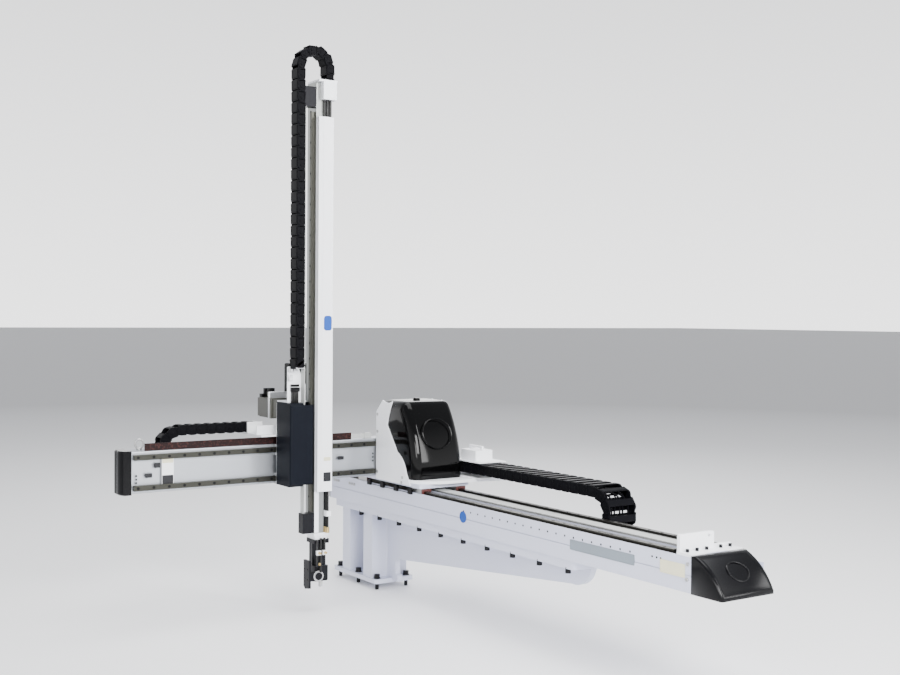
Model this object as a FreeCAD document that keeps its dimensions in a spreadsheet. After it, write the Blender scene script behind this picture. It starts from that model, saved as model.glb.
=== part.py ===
import FreeCAD, Part
import Sketcher
import math
import os
import re
from FreeCAD import Matrix, Placement, Rotation, Vector

# Traverse take-out robot, built at full size in millimetres.
# The origin is the centre of the pedestal's underside. +X runs along the traverse beam to its free end,
# the cross beam reaches out towards -Y, and +Z is up.

# Driving dimensions, each written once: word, value and what it measures
SIZES = (
    ("base_length", 372, "pedestal foot along X"),
    ("base_width", 190, "pedestal foot along Y"),
    ("base_thick", 18, "pedestal foot thickness"),
    ("base_corner", 14, "corner radius of the foot"),
    ("ped_height", 324, "foot underside to flange top"),
    ("rib_width", 172, "upright ribs along Y"),
    ("rear_rib_x", -116, "near face of the rear rib"),
    ("rear_rib_thick", 64, "rear rib along X"),
    ("front_rib_x", 66, "near face of the front rib"),
    ("front_rib_thick", 74, "front rib along X"),
    ("web_thick", 24, "central web"),
    ("web_fillet", 10, "casting fillet between rib and web"),
    ("foot_flare", 20, "flare of the web's foot"),
    ("foot_reach", 71, "web foot in front of the front rib"),
    ("notch_radius", 25, "round notch under the gusset"),
    ("gusset_root", 106, "height of the gusset's lower edge at the notch"),
    ("gusset_tip", 218, "height of the gusset's lower edge at its nose"),
    ("nose_length", 119, "rounded nose of the gusset along X"),
    ("nose_radius", 90, "radius of that nose"),
    ("flange_start", -157, "rear end of the top flange"),
    ("flange_end", 1500, "free end of the top flange"),
    ("flange_width", 210, "top flange along Y"),
    ("flange_thick", 30, "top flange thickness"),
    ("flange_corner", 18, "corner radius of the flange"),
    ("foot_bolt_x", 160, "outer foot bolts from the middle, along X"),
    ("foot_bolt_y", 72, "foot bolts from the middle, along Y"),
    ("bolt_radius", 8, "shank radius of the M16 bolts"),
    ("bolt_clear", 0.75, "clearance round a bolt shank"),
    ("bolt_head", 12, "head radius of the M16 bolts"),
    ("bolt_relief", 0.4, "foot bolt shank, thinner than its thread on radius"),
    ("bolt_stud", 28, "foot bolt shank below the foot"),
    ("washer_radius", 15, "washer radius"),
    ("washer_thick", 3, "washer thickness"),
    ("flange_bolt_x", 64, "first bolt under the flange"),
    ("flange_bolt_pitch", 155, "pitch of the bolts under the flange"),
    ("flange_bolt_head", 9, "head radius of the bolts under the flange"),
    ("flange_bolt_y", 95.5, "bolts under the flange from the middle"),
    ("beam_start", -190, "rear end of the traverse beam"),
    ("beam_end", 2042, "free end of the traverse beam"),
    ("beam_width", 222, "traverse beam along Y"),
    ("beam_height", 106, "traverse beam along Z"),
    ("beam_wall", 8, "wall of the beam extrusions"),
    ("lip_width", 6, "side lip of the traverse beam"),
    ("lip_depth", 10, "rail seat below the lip"),
    ("spine_width", 84, "raised belt track on the beam"),
    ("spine_rise", 6, "belt track above the lip"),
    ("groove_size", 3, "square groove along the beam's sides"),
    ("groove_drop", 52, "groove below the beam's top"),
    ("cap_length", 123, "moulded cap on the free end, along X"),
    ("cap_top", 18, "flat top of that cap along X"),
    ("cap_radius", 205, "crown radius of that cap"),
    ("cap_edge", 9, "edge radius of that cap"),
    ("rear_cover_thick", 12, "cover on the beam's rear end"),
    ("rail_width", 20, "guide rail width"),
    ("rail_height", 18, "guide rail height"),
    ("rail_offset", 82, "traverse rails from the middle"),
    ("rail_start", -20, "rear end of the traverse rails"),
    ("rail_end", 1950, "free end of the traverse rails"),
    ("block_length", 76, "guide block along its rail"),
    ("block_width", 44, "guide block across its rail"),
    ("block_rise", 30, "guide block top above the rail seat"),
    ("block_clear", 0.4, "running clearance round a rail"),
    ("seal_thick", 3, "end seal of a guide block"),
    ("belt_width", 50, "traverse belt width"),
    ("belt_thick", 3, "toothed belts' thickness"),
    ("anchor_width", 155, "belt anchor plate along Y"),
    ("anchor_height", 60, "belt anchor plate above the lip"),
    ("anchor_thick", 12, "belt anchor plate thickness"),
    ("anchor_foot", 46, "foot of the anchor plate along X"),
    ("anchor_inset", 62, "anchor plate back from the beam's end"),
    ("clamp_length", 26, "belt clamp along X"),
    ("buffer_radius", 11, "rubber buffer radius"),
    ("buffer_length", 22, "rubber buffer length"),
    ("switch_x", 155, "first limit switch along X"),
    ("switch_pitch", 108, "limit switch pitch"),
    ("switch_size", 24, "limit switch body"),
    ("sheet_thick", 2, "thickness of the folded sheet pieces"),
    ("traverse_tray_start", 330, "near end of the traverse chain tray"),
    ("traverse_tray_end", 1990, "far end of the traverse chain tray"),
    ("link_wall", 3, "wall of a chain link"),
    ("link_clear", 0.4, "side clearance between chain links"),
    ("link_nose", 6, "chain link tongue beyond its pin"),
    ("link_heel", 4, "chain link frame behind its pin"),
    ("wide_chain_width", 125, "traverse chain across"),
    ("wide_chain_height", 42, "traverse chain thickness"),
    ("wide_chain_radius", 75, "traverse chain bend radius"),
    ("wide_chain_end", 450, "traverse chain's saddle end along X"),
    ("wide_chain_top", 516, "middle of the traverse chain's upper run"),
    ("wide_upper_links", 18, "links in the traverse chain's upper run"),
    ("wide_lower_links", 8, "links in the traverse chain's lower run"),
    ("saddle_start", 46, "near end of the saddle plate"),
    ("saddle_end", 564, "far end of the saddle plate"),
    ("saddle_front", -115, "front edge of the saddle plate"),
    ("saddle_back", 122, "back edge of the saddle plate"),
    ("saddle_thick", 16, "saddle plate thickness"),
    ("skirt_thick", 12, "white skirt plate under the drive cover"),
    ("wing_back", 264, "back edge of the skirt's chain wing"),
    ("skirt_bulge", 560, "foremost point of the skirt"),
    ("panel_thick", 4, "side panels of the drive housing"),
    ("panel_foot", 455, "lower edge of the side panels"),
    ("housing_start", 225, "near face of the drive housing"),
    ("housing_top", 786, "top of the drive housing"),
    ("housing_chamfer", 52, "chamfer at the housing's near top edge"),
    ("cover_front", 518, "foremost point of the drive cover"),
    ("cover_wall", 3, "wall of the moulded covers"),
    ("cover_corner", 24, "upright corner radius of the drive cover"),
    ("drive_pulley_radius", 64, "traverse drive pulley"),
    ("drive_x", 400, "traverse drive axis along X"),
    ("gearbox_size", 75, "right-angle gearbox, square"),
    ("gearbox_height", 75, "right-angle gearbox height"),
    ("servo_size", 80, "drive servo motor, square"),
    ("servo_length", 157, "drive servo motor length"),
    ("shaft_radius", 9, "drive shaft radius"),
    ("cross_start", -1162, "outer end of the cross beam"),
    ("cross_inner", 126, "inner end of the cross beam"),
    ("cross_front", 215, "front face of the cross beam"),
    ("cross_depth", 90, "cross beam along X"),
    ("cross_height", 156, "cross beam along Z"),
    ("cross_rail_offset", 57, "cross rails from mid height"),
    ("cross_rail_inner", -124, "inner end of the cross rails"),
    ("cross_cap", 45, "cross beam's cap along Y"),
    ("eye_radius", 16.5, "lifting eye, to the middle of its bar"),
    ("eye_bar", 3.5, "bar radius of the lifting eye"),
    ("eye_y", -1111, "lifting eye along Y"),
    ("cross_chain_width", 62, "cross chain across"),
    ("cross_chain_height", 40, "cross chain thickness"),
    ("cross_chain_radius", 75, "cross chain bend radius"),
    ("cross_chain_end", -606, "cross chain's carriage end along Y"),
    ("cross_chain_top", 683, "middle of the cross chain's upper run"),
    ("cross_upper_links", 8, "links in the cross chain's upper run"),
    ("cross_lower_links", 4, "links in the cross chain's lower run"),
    ("kick_belt_width", 18, "kick belt along Z"),
    ("kick_pulley_radius", 20, "kick drive pulley"),
    ("kick_belt_start", -1085, "outer end of the kick belt"),
    ("kick_belt_end", -130, "inner end of the kick belt"),
    ("kick_clamp_length", 30, "kick belt clamps along Y"),
    ("kick_y", -467, "kick drive axis along Y"),
    ("carriage_front", 257, "front face of the carriage plate"),
    ("carriage_thick", 12, "carriage plate thickness"),
    ("carriage_left", -585, "outer edge of the carriage plate"),
    ("carriage_right", -395, "inner edge of the carriage plate"),
    ("carriage_foot", 468, "lower edge of the carriage plate"),
    ("carriage_top", 793, "upper edge of the carriage plate"),
    ("case_front", 380, "front face of the carriage cover"),
    ("case_left", -590, "outer side of the carriage cover"),
    ("case_right", -488.5, "inner side of the carriage cover"),
    ("case_foot", 468, "lower edge of the carriage cover"),
    ("case_top", 792, "upper edge of the carriage cover"),
    ("case_corner", 8, "upright corner radius of the carriage cover"),
    ("case_bevel", 12, "bevel of the carriage cover"),
    ("arm_back", 300, "back face of the arm profile"),
    ("arm_depth", 75, "arm profile along X"),
    ("arm_left", -484, "outer face of the arm profile"),
    ("arm_width", 42, "arm profile along Y"),
    ("arm_wall", 4, "wall of the arm profile"),
    ("arm_foot", 281, "lower end of the arm profile"),
    ("arm_length", 1759, "arm profile length"),
    ("lift_belt_width", 30, "lift belt width"),
    ("lift_pulley_radius", 20, "lift drive pulley"),
    ("lift_level", 762, "height of the lift drive axis"),
    ("lift_motor_size", 80, "lift servo motor, square"),
    ("lift_motor_length", 85, "lift servo motor length"),
    ("lift_flange_thick", 28, "lift motor flange thickness"),
    ("lift_gearbox_length", 42, "lift gearbox length"),
    ("encoder_length", 21, "encoder cap of the lift motor"),
    ("tower_size", 74, "kick motor cover, square"),
    ("tower_top", 940, "top of the kick motor cover"),
    ("lift_chain_width", 60, "lift chain across"),
    ("lift_chain_height", 34, "lift chain thickness"),
    ("lift_chain_radius", 62.5, "lift chain bend radius"),
    ("lift_chain_foot", 936, "lift chain's carriage end"),
    ("lift_left_links", 27, "links in the lift chain's standing run"),
    ("lift_right_links", 1, "links in the lift chain's paid-out run"),
    ("duct_foot", 446, "lower end of the cable duct"),
    ("duct_top", 1904, "upper end of the cable duct"),
    ("head_foot", 1972, "lower edge of the head box"),
    ("hub_radius", 21, "wrist hub"),
    ("hinge_radius", 6, "wrist shaft radius"),
    ("hub_y", -465, "wrist hub along Y"),
    ("plate_left", -507, "outer face of the gripper plate"),
    ("plate_thick", 9, "gripper plate thickness"),
    ("plate_width", 46, "gripper plate along X"),
    ("plate_up", 63, "gripper plate above the hub's axis"),
    ("plate_down", 51, "gripper plate below the hub's axis"),
    ("plate_hole_pitch", 40, "gripper plate hole pitch"),
    ("plate_hole", 3.3, "gripper plate hole radius"),
    ("block_inset", 4, "guide block in from the plate's edge"),
    ("wide_chain_pitch", 48, "traverse chain pitch"),
    ("wide_chain_side", 132, "near side of the traverse chain"),
    ("cross_chain_pitch", 40, "cross chain pitch"),
    ("cross_chain_side", 50, "near side of the cross chain"),
    ("lift_chain_pitch", 43, "lift chain pitch"),
    ("lift_chain_side", 338, "near side of the lift chain"),
    ("lift_chain_y", -558, "middle of the lift chain's standing run"),
    ("chain_seat", 2, "free height between a chain and its tray"),
    ("tray_side", 25, "raised edge of the chain trays"),
    ("panel_crown", 355, "end of the side panels' straight top"),
    ("roll_gap", 0.3, "free gap between a pulley and its belt"),
    ("running_fit", 0.05, "radial clearance of a shaft in its bore"),
    ("bracket_thick", 4, "thickness of the bent brackets"),
    ("support_end", 620, "front end of the chain support"),
    ("junction_height", 42, "junction box height"),
    ("drive_bulge", 760, "crown radius of the drive cover's front"),
    ("strip_x", 204, "near face of the cover strip"),
    ("strip_height", 28, "cover strip above the cross beam"),
    ("strip_start", -1107, "outer end of the cover strip"),
    ("strip_end", -228, "inner end of the cover strip"),
    ("deck_level", 655, "underside of the kick drive's deck"),
    ("deck_thick", 6, "deck thickness"),
    ("deck_start", -650, "outer edge of the deck"),
    ("deck_end", -425, "inner edge of the deck"),
    ("kick_x", 178, "kick drive axis along X"),
    ("kick_gearbox", 84, "kick gearbox height"),
    ("lift_y", -548, "lift drive axis along Y"),
    ("lift_belt_x", 342, "near edge of the lift belt"),
    ("lift_belt_thick", 2.5, "lift belt thickness"),
    ("arm_rail_x", 357, "middle of the arm's rail"),
    ("arm_rail_size", 15, "arm rail width and height"),
    ("arm_rail_foot", 365, "lower end of the arm's rail"),
    ("arm_rail_top", 1925, "upper end of the arm's rail"),
    ("arm_block_width", 34, "arm guide block across"),
    ("arm_block_length", 60, "arm guide block along the arm"),
    ("arm_block_depth", 19.5, "arm guide block thickness"),
    ("arm_plate_thick", 8, "plate behind the arm guide blocks"),
    ("clamp_foot", 283, "lower edge of the lower belt clamp"),
    ("clamp_top", 2020, "upper edge of the upper belt clamp"),
    ("clamp_height", 78, "belt clamps along the arm"),
    ("duct_back", 340, "near edge of the cable duct"),
    ("duct_front", 400, "front of the cable duct"),
    ("duct_left", -465, "outer side of the cable duct"),
    ("duct_right", -420, "inner side of the cable duct"),
    ("head_right", -405, "inner side of the head box"),
    ("head_plate", 8, "arm's top plate thickness"),
    ("end_plate", 12, "arm's bottom plate thickness"),
    ("spacer_thick", 14, "spacer under the arm's bottom plate"),
    ("wrist_flange", 16, "wrist flange thickness"),
    ("wrist_back", 310, "back face of the wrist body"),
    ("wrist_depth", 60, "wrist body along X"),
    ("wrist_left", -478, "outer side of the wrist body"),
    ("wrist_width", 58, "wrist body along Y"),
    ("wrist_foot", 90, "lower end of the wrist body"),
    ("wrist_block", 60, "lower block of the wrist"),
    ("barrel_radius", 16, "air cylinders of the wrist"),
    ("hub_z", 112, "height of the wrist's axis"),
    ("lever_thick", 7, "side lever of the gripper plate"),
    ("hose_radius", 4, "air hose radius"),
    ("hose_bend", 24, "bend radius of the hoses"),
    ("switch_nose", 15, "switch nose along Y"),
)

doc = FreeCAD.newDocument("take_out_robot")
sheet = doc.addObject("Spreadsheet::Sheet", "sizes")
for row, (word, value, meaning) in enumerate(SIZES, start=1):
    sheet.set(f"A{row}", str(value))
    sheet.setAlias(f"A{row}", word)
    sheet.set(f"B{row}", meaning)
doc.recompute()
WORDS = {word for word, value, meaning in SIZES}


def bound(text):
    """The expression for the document: every size word refers to its cell."""
    return re.sub(r"[a-z][a-z_]*", lambda m: "sizes." + m.group(0) if m.group(0) in WORDS else m.group(0), str(text))


def num(text):
    """The present value of an expression in size words, in millimetres."""
    return float(sheet.evalExpression(bound(text)))


def total(*terms):
    """The sum of some expressions, as one expression."""
    return "(" + " + ".join(str(term) for term in terms) + ")"


def minus(first, second):
    """One expression less another."""
    return f"({first} - ({second}))"


# Primitives bound to the sheet

AXES = {"X": Rotation(Vector(0, 1, 0), 90), "Y": Rotation(Vector(1, 0, 0), -90), "Z": Rotation()}
made = {}


def bind(thing, places):
    """Ties properties of an object to expressions."""
    for path, text in places.items():
        thing.setExpression(path, bound(text))


def keep(thing, label):
    """Enters a finished sub-part under its label."""
    thing.Label = label
    made[label] = thing
    return thing


def box(name, x, y, z, dx, dy, dz):
    """A rectangular block from its lowest corner."""
    thing = doc.addObject("Part::Box", name)
    bind(thing, {"Placement.Base.x": x, "Placement.Base.y": y, "Placement.Base.z": z,
                 "Length": dx, "Width": dy, "Height": dz})
    return thing


def rod(name, axis, x, y, z, radius, length):
    """A round bar from the middle of its first face, along X, Y or Z."""
    thing = doc.addObject("Part::Cylinder", name)
    thing.Placement = Placement(Vector(), AXES[axis])
    bind(thing, {"Placement.Base.x": x, "Placement.Base.y": y, "Placement.Base.z": z,
                 "Radius": radius, "Height": length})
    return thing


def joined(name, pieces):
    """The union of some pieces."""
    thing = doc.addObject("Part::MultiFuse", name)
    thing.Shapes = pieces
    return thing


def less(name, piece, tools):
    """A piece with others cut from it."""
    tool = tools[0] if len(tools) == 1 else joined(name + "_tool", tools)
    thing = doc.addObject("Part::Cut", name)
    thing.Base = piece
    thing.Tool = tool
    return thing


def group(name, pieces):
    """Separate solids that share a node."""
    thing = doc.addObject("Part::Compound", name)
    thing.Links = pieces
    return thing


def shaped(name, solids):
    """A sub-part whose shape is worked out from the sheet's values."""
    thing = doc.addObject("Part::Feature", name)
    thing.Shape = solids[0] if len(solids) == 1 else Part.makeCompound(solids)
    return thing


# Sketched bodies

PLANES = {"XY": "XY_Plane", "XZ": "XZ_Plane", "YZ": "YZ_Plane"}


def arc_between(a, b, radius):
    """A minor arc from a to b: a positive radius bulges to the right of the way from a to b."""
    half = (b - a) * 0.5
    reach = abs(radius)
    side = Vector(half.y, -half.x, 0)
    side.normalize()
    bulge = reach - math.sqrt(max(reach * reach - half.Length ** 2, 0))
    return Part.Arc(a, a + half + side * math.copysign(bulge, radius), b)


def flat_solid(outline, low, high):
    """A prism with a level outline of straight edges."""
    points = [Vector(num(x), num(y), num(low)) for x, y in outline]
    wire = Part.makePolygon(points + points[:1])
    return Part.Face(wire).extrude(Vector(0, 0, num(high) - num(low)))


def turned(x, y, low, radius, height):
    """An upright cylinder."""
    return Part.makeCylinder(num(radius), num(height), Vector(num(x), num(y), num(low)))


def hexagon(x, y, low, radius, height):
    """An upright six-sided head."""
    corners = [(f"{x} + {radius} * {math.cos(math.pi * side / 3)}", f"{y} + {radius} * {math.sin(math.pi * side / 3)}")
               for side in range(6)]
    return flat_solid(corners, low, f"{low} + {height}")


class Bodywork:
    """A sub-part made of sketched features in a body of its own."""

    def __init__(self, label, own=True):
        self.body = doc.addObject("PartDesign::Body", label)
        self.count = 0
        if own:
            keep(self.body, label)

    def name(self, word):
        self.count += 1
        return f"{self.body.Name}_{word}_{self.count}"

    def sketch(self, plane, start, loops):
        """A sketch on one of the body's planes, moved along the plane's normal to its start."""
        drawing = self.body.newObject("Sketcher::SketchObject", self.name("sketch"))
        origin = next(f for f in self.body.Origin.OriginFeatures if f.Role == PLANES[plane])
        drawing.AttachmentSupport = [(origin, "")]
        drawing.MapMode = "FlatFace"
        sign = "-1 * " if plane == "XZ" else ""
        drawing.setExpression("AttachmentOffset.Base.z", bound(f"{sign}({start})"))
        for loop in loops:
            if loop[0] == "ring":
                self.ring(drawing, *loop[1:])
            else:
                self.outline(drawing, loop)
        return drawing

    def fix(self, drawing, shape_id, end, u, v):
        """Ties a point of the sketch to two expressions."""
        for kind, text in (("DistanceX", u), ("DistanceY", v)):
            index = drawing.addConstraint(Sketcher.Constraint(kind, -1, 1, shape_id, end, num(text)))
            drawing.setExpression(f"Constraints[{index}]", bound(text))

    def ring(self, drawing, u, v, radius):
        circle = Part.Circle(Vector(num(u), num(v), 0), Vector(0, 0, 1), num(radius))
        shape_id = drawing.addGeometry(circle, False)
        self.fix(drawing, shape_id, 3, u, v)
        index = drawing.addConstraint(Sketcher.Constraint("Radius", shape_id, num(radius)))
        drawing.setExpression(f"Constraints[{index}]", bound(radius))

    def outline(self, drawing, corners):
        """A closed outline: a corner's third value is the radius of the arc that leads on from it."""
        points = [Vector(num(c[0]), num(c[1]), 0) for c in corners]
        ids = []
        for i, corner in enumerate(corners):
            a, b = points[i], points[(i + 1) % len(points)]
            edge = arc_between(a, b, num(corner[2])) if len(corner) > 2 else Part.LineSegment(a, b)
            ids.append(drawing.addGeometry(edge, False))
        ends = [self.end_at(drawing, ids[i], points[i]) for i in range(len(ids))]
        for i, corner in enumerate(corners):
            before = i - 1
            drawing.addConstraint(Sketcher.Constraint("Coincident", ids[before], 3 - ends[before], ids[i], ends[i]))
            self.fix(drawing, ids[i], ends[i], corner[0], corner[1])
            if len(corner) > 2:
                size = f"abs({corner[2]})"
                index = drawing.addConstraint(Sketcher.Constraint("Radius", ids[i], num(size)))
                drawing.setExpression(f"Constraints[{index}]", bound(size))

    def end_at(self, drawing, shape_id, point):
        """Which end of an edge lies at the point: 1 or 2."""
        first = drawing.getPoint(shape_id, 1)
        second = drawing.getPoint(shape_id, 2)
        return 1 if (first - point).Length <= (second - point).Length else 2

    def pad(self, plane, start, length, *loops):
        """Adds material from the start along the positive axis."""
        feature = self.body.newObject("PartDesign::Pad", self.name("pad"))
        feature.Profile = self.sketch(plane, start, loops)
        feature.setExpression("Length", bound(length))
        feature.Reversed = plane == "XZ"
        return self.done(feature)

    def pocket(self, plane, start, length, *loops):
        """Takes material away from the start along the positive axis."""
        before = self.volume()
        feature = self.body.newObject("PartDesign::Pocket", self.name("pocket"))
        feature.Profile = self.sketch(plane, start, loops)
        feature.setExpression("Length", bound(length))
        feature.Reversed = plane != "XZ"
        self.done(feature)
        if not self.volume() < before - 1e-3:
            raise RuntimeError(f"{feature.Name} cuts nothing")
        return self

    def done(self, feature):
        self.body.Tip = feature
        doc.recompute()
        if feature.Shape.isNull() or "Invalid" in feature.State:
            raise RuntimeError(f"{feature.Name} failed: {feature.getStatusString()}")
        return self

    def volume(self):
        return self.body.Shape.Volume

    def rounded_by(self, radius, test, kind="Fillet"):
        """Rounds or chamfers the edges that pass the test."""
        names = [f"Edge{i}" for i, edge in enumerate(self.body.Tip.Shape.Edges, start=1) if test(edge)]
        if not names:
            raise RuntimeError(f"{self.body.Name}: no edge to round")
        base = self.body.Tip
        feature = self.body.newObject(f"PartDesign::{kind}", self.name(kind.lower()))
        feature.Base = (base, names)
        feature.setExpression("Radius" if kind == "Fillet" else "Size", bound(radius))
        return self.done(feature)

    def edges(self, axis, test):
        """Names of straight or curved edges along an axis whose middle passes the test."""
        names = []
        shape = self.body.Tip.Shape
        for i, edge in enumerate(shape.Edges, start=1):
            span = edge.BoundBox
            sizes = {"X": span.XLength, "Y": span.YLength, "Z": span.ZLength}
            along = sizes.pop(axis)
            if along > 1 and max(sizes.values()) < 1e-3 and test(edge.CenterOfMass):
                names.append(f"Edge{i}")
        return names

    def rounded(self, radius, axis, test, kind="Fillet"):
        """Rounds or chamfers the edges along an axis that pass the test."""
        names = self.edges(axis, test)
        if not names:
            raise RuntimeError(f"{self.body.Name}: no edge to round")
        base = self.body.Tip
        feature = self.body.newObject(f"PartDesign::{kind}", self.name(kind.lower()))
        feature.Base = (base, names)
        feature.setExpression("Radius" if kind == "Fillet" else "Size", bound(radius))
        return self.done(feature)



def rect(u, v, du, dv):
    """A rectangle's corners from its lowest corner."""
    return [(u, v), (total(u, du), v), (total(u, du), total(v, dv)), (u, total(v, dv))]


def ring(u, v, radius):
    return ("ring", u, v, radius)


# Levels and faces that several pieces share

flange_under = "(ped_height - flange_thick)"
beam_top = "(ped_height + beam_height)"
rail_seat = "(ped_height + beam_height - lip_depth)"
block_top = "(ped_height + beam_height - lip_depth + block_rise)"
block_under = total(rail_seat, "rail_height * 0.25")
belt_top = total(beam_top, "spine_rise", "belt_thick")
saddle_top = total(block_top, "saddle_thick")
skirt_top = total(saddle_top, "skirt_thick")
foot_x = "(front_rib_x + front_rib_thick + foot_reach)"
cross_back = "(cross_front - cross_depth)"
cross_top = total(saddle_top, "cross_height")
cross_middle = total(saddle_top, "cross_height / 2")
carriage_back = "(carriage_front - carriage_thick)"
arm_top = "(arm_foot + arm_length)"
arm_front = "(arm_back + arm_depth)"
arm_right = "(arm_left + arm_width)"
arm_middle = "(arm_left + arm_width / 2)"
lift_belt_face = "(lift_y + lift_pulley_radius + roll_gap)"
anchor_x = "(beam_end - anchor_inset)"

# Pedestal: one casting with foot, two upright ribs, web, tapering gusset and beam flange
casting = Bodywork("pedestal")
casting.pad("XY", "0", "base_thick", rect("-base_length / 2", "-base_width / 2", "base_length", "base_width"))
casting.rounded("base_corner", "Z", lambda p: True)
casting.pad("XY", "0", total(flange_under, "1"),
            rect("rear_rib_x", "-rib_width / 2", "rear_rib_thick", "rib_width"),
            rect("front_rib_x", "-rib_width / 2", "front_rib_thick", "rib_width"))
casting.pad("XZ", "-web_thick / 2", "web_thick", [
    ("rear_rib_x + 5", "base_thick / 2"),
    (total(foot_x, "foot_flare"), "base_thick / 2"),
    (total(foot_x, "foot_flare"), "base_thick", "foot_flare"),
    (foot_x, "base_thick + foot_flare"),
    (foot_x, "gusset_root - notch_radius", "-notch_radius"),
    (total(foot_x, "notch_radius"), "gusset_root"),
    ("flange_end - nose_length", "gusset_tip", "nose_radius"),
    ("flange_end - flange_corner", flange_under),
    ("flange_end - flange_corner", total(flange_under, "flange_thick / 2")),
    ("rear_rib_x + 5", total(flange_under, "flange_thick / 2")),
])
casting.rounded("web_fillet", "Z", lambda p: abs(abs(p.y) - num("web_thick / 2")) < 0.1
                and abs(p.x - num("front_rib_x + front_rib_thick")) < 0.1)
casting.pad("XY", flange_under, "flange_thick",
            rect("flange_start", "-flange_width / 2", "flange_end - flange_start", "flange_width"))
casting.rounded("flange_corner", "Z", lambda p: abs(abs(p.y) - num("flange_width / 2")) < 0.1
                and p.z > num(flange_under))
foot_points = [("-foot_bolt_x", "-foot_bolt_y"), ("0", "-foot_bolt_y"), ("foot_bolt_x", "-foot_bolt_y"),
               ("-foot_bolt_x", "foot_bolt_y"), ("0", "foot_bolt_y"), ("foot_bolt_x", "foot_bolt_y")]
casting.pocket("XY", "-1", "base_thick + 2", *[ring(x, y, "bolt_radius + bolt_clear") for x, y in foot_points])

# Foot bolts with washer heads: their threaded ends stand out below the foot
bolts = []
for x, y in foot_points:
    thread = turned(x, y, "-bolt_stud", "bolt_radius", "bolt_stud")
    shank = turned(x, y, "0", "bolt_radius - bolt_relief", "base_thick + washer_thick")
    washer = turned(x, y, "base_thick", "washer_radius", "washer_thick")
    head = hexagon(x, y, total("base_thick", "washer_thick"), "bolt_head", "bolt_radius * 2")
    bolts.append(thread.fuse([shank, washer, head]))

# Bolts that hold the beam, hung under the flange in two rows
for place in range(10):
    for side in (-1, 1):
        bolts.append(hexagon(f"flange_bolt_x + {place} * flange_bolt_pitch", f"{side} * flange_bolt_y",
                             minus(flange_under, "flange_bolt_head * 1.3"), "flange_bolt_head",
                             "flange_bolt_head * 1.3"))
keep(shaped("frame_bolts", bolts), "frame_bolts")

# Traverse beam: a two-cell extrusion with side lips, rail seats and a raised belt track
beam = Bodywork("traverse_beam")
half = "beam_width / 2"
inner_lip = "(beam_width / 2 - lip_width)"
groove_low = minus(beam_top, "groove_drop + groove_size")
groove_high = minus(beam_top, "groove_drop")
beam.pad("YZ", "beam_start", "beam_end - beam_start", [
    (f"-{half}", "ped_height"), (half, "ped_height"),
    (half, groove_low), (f"{half} - groove_size", groove_low),
    (f"{half} - groove_size", groove_high), (half, groove_high),
    (half, beam_top), (inner_lip, beam_top), (inner_lip, rail_seat),
    ("spine_width / 2", rail_seat), ("spine_width / 2", total(beam_top, "spine_rise")),
    ("-spine_width / 2", total(beam_top, "spine_rise")), ("-spine_width / 2", rail_seat),
    (f"-{inner_lip}", rail_seat), (f"-{inner_lip}", beam_top), (f"-{half}", beam_top),
    (f"-{half}", groove_high), (f"-{half} + groove_size", groove_high),
    (f"-{half} + groove_size", groove_low), (f"-{half}", groove_low),
])
cell_size = ("(beam_width / 2 - 1.5 * beam_wall)", minus(rail_seat, "ped_height + 2 * beam_wall"))
beam.pocket("YZ", "beam_start - 1", "beam_end - beam_start + 2",
            rect("-beam_width / 2 + beam_wall", "ped_height + beam_wall", *cell_size),
            rect("beam_wall / 2", "ped_height + beam_wall", *cell_size))

# Moulded cap on the free end and flat cover on the rear end
cap = Bodywork("end_cap_front")
cap.pad("XZ", "-beam_width / 2", "beam_width", [
    ("beam_end", "ped_height - 2"), ("beam_end + cap_length", "ped_height - 2"),
    ("beam_end + cap_length", "ped_height + 8", "cap_radius"),
    ("beam_end + cap_top", total(beam_top, "5")), ("beam_end", total(beam_top, "5")),
])
cap.rounded("cap_edge", "X", lambda p: p.z > num(beam_top))
rear = Bodywork("end_cover_rear")
rear.pad("YZ", "beam_start - rear_cover_thick", "rear_cover_thick",
         rect("-beam_width / 2", "ped_height - 2", "beam_width", "beam_height + 7"))
rear.rounded("rear_cover_thick / 2", "Y", lambda p: p.x < num("beam_start - rear_cover_thick / 2"))
rear.rounded("rear_cover_thick / 3", "X", lambda p: True, "Chamfer")


def rail_profile(across, seat, outwards):
    """A guide rail's section with its side races, drawn from its seat outwards."""
    waist = "rail_width / 2 - 2.5"
    steps = [("rail_width / 2", "0"), ("rail_width / 2", "rail_height * 0.3"), (waist, "rail_height * 0.5"),
             ("rail_width / 2", "rail_height * 0.7"), ("rail_width / 2", "rail_height")]
    right = [(total(across, w), total(seat, f"{outwards} * {h}")) for w, h in steps]
    left = [(minus(across, w), total(seat, f"{outwards} * {h}")) for w, h in reversed(steps)]
    return right + left


rails = []
for side in ("-1", "1"):
    rail = Bodywork("traverse_rail", own=False)
    rail.pad("YZ", "rail_start", "rail_end - rail_start", rail_profile(f"{side} * rail_offset", rail_seat, 1))
    rails.append(rail.body)
keep(group("traverse_rails", rails), "traverse_rails")


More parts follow.
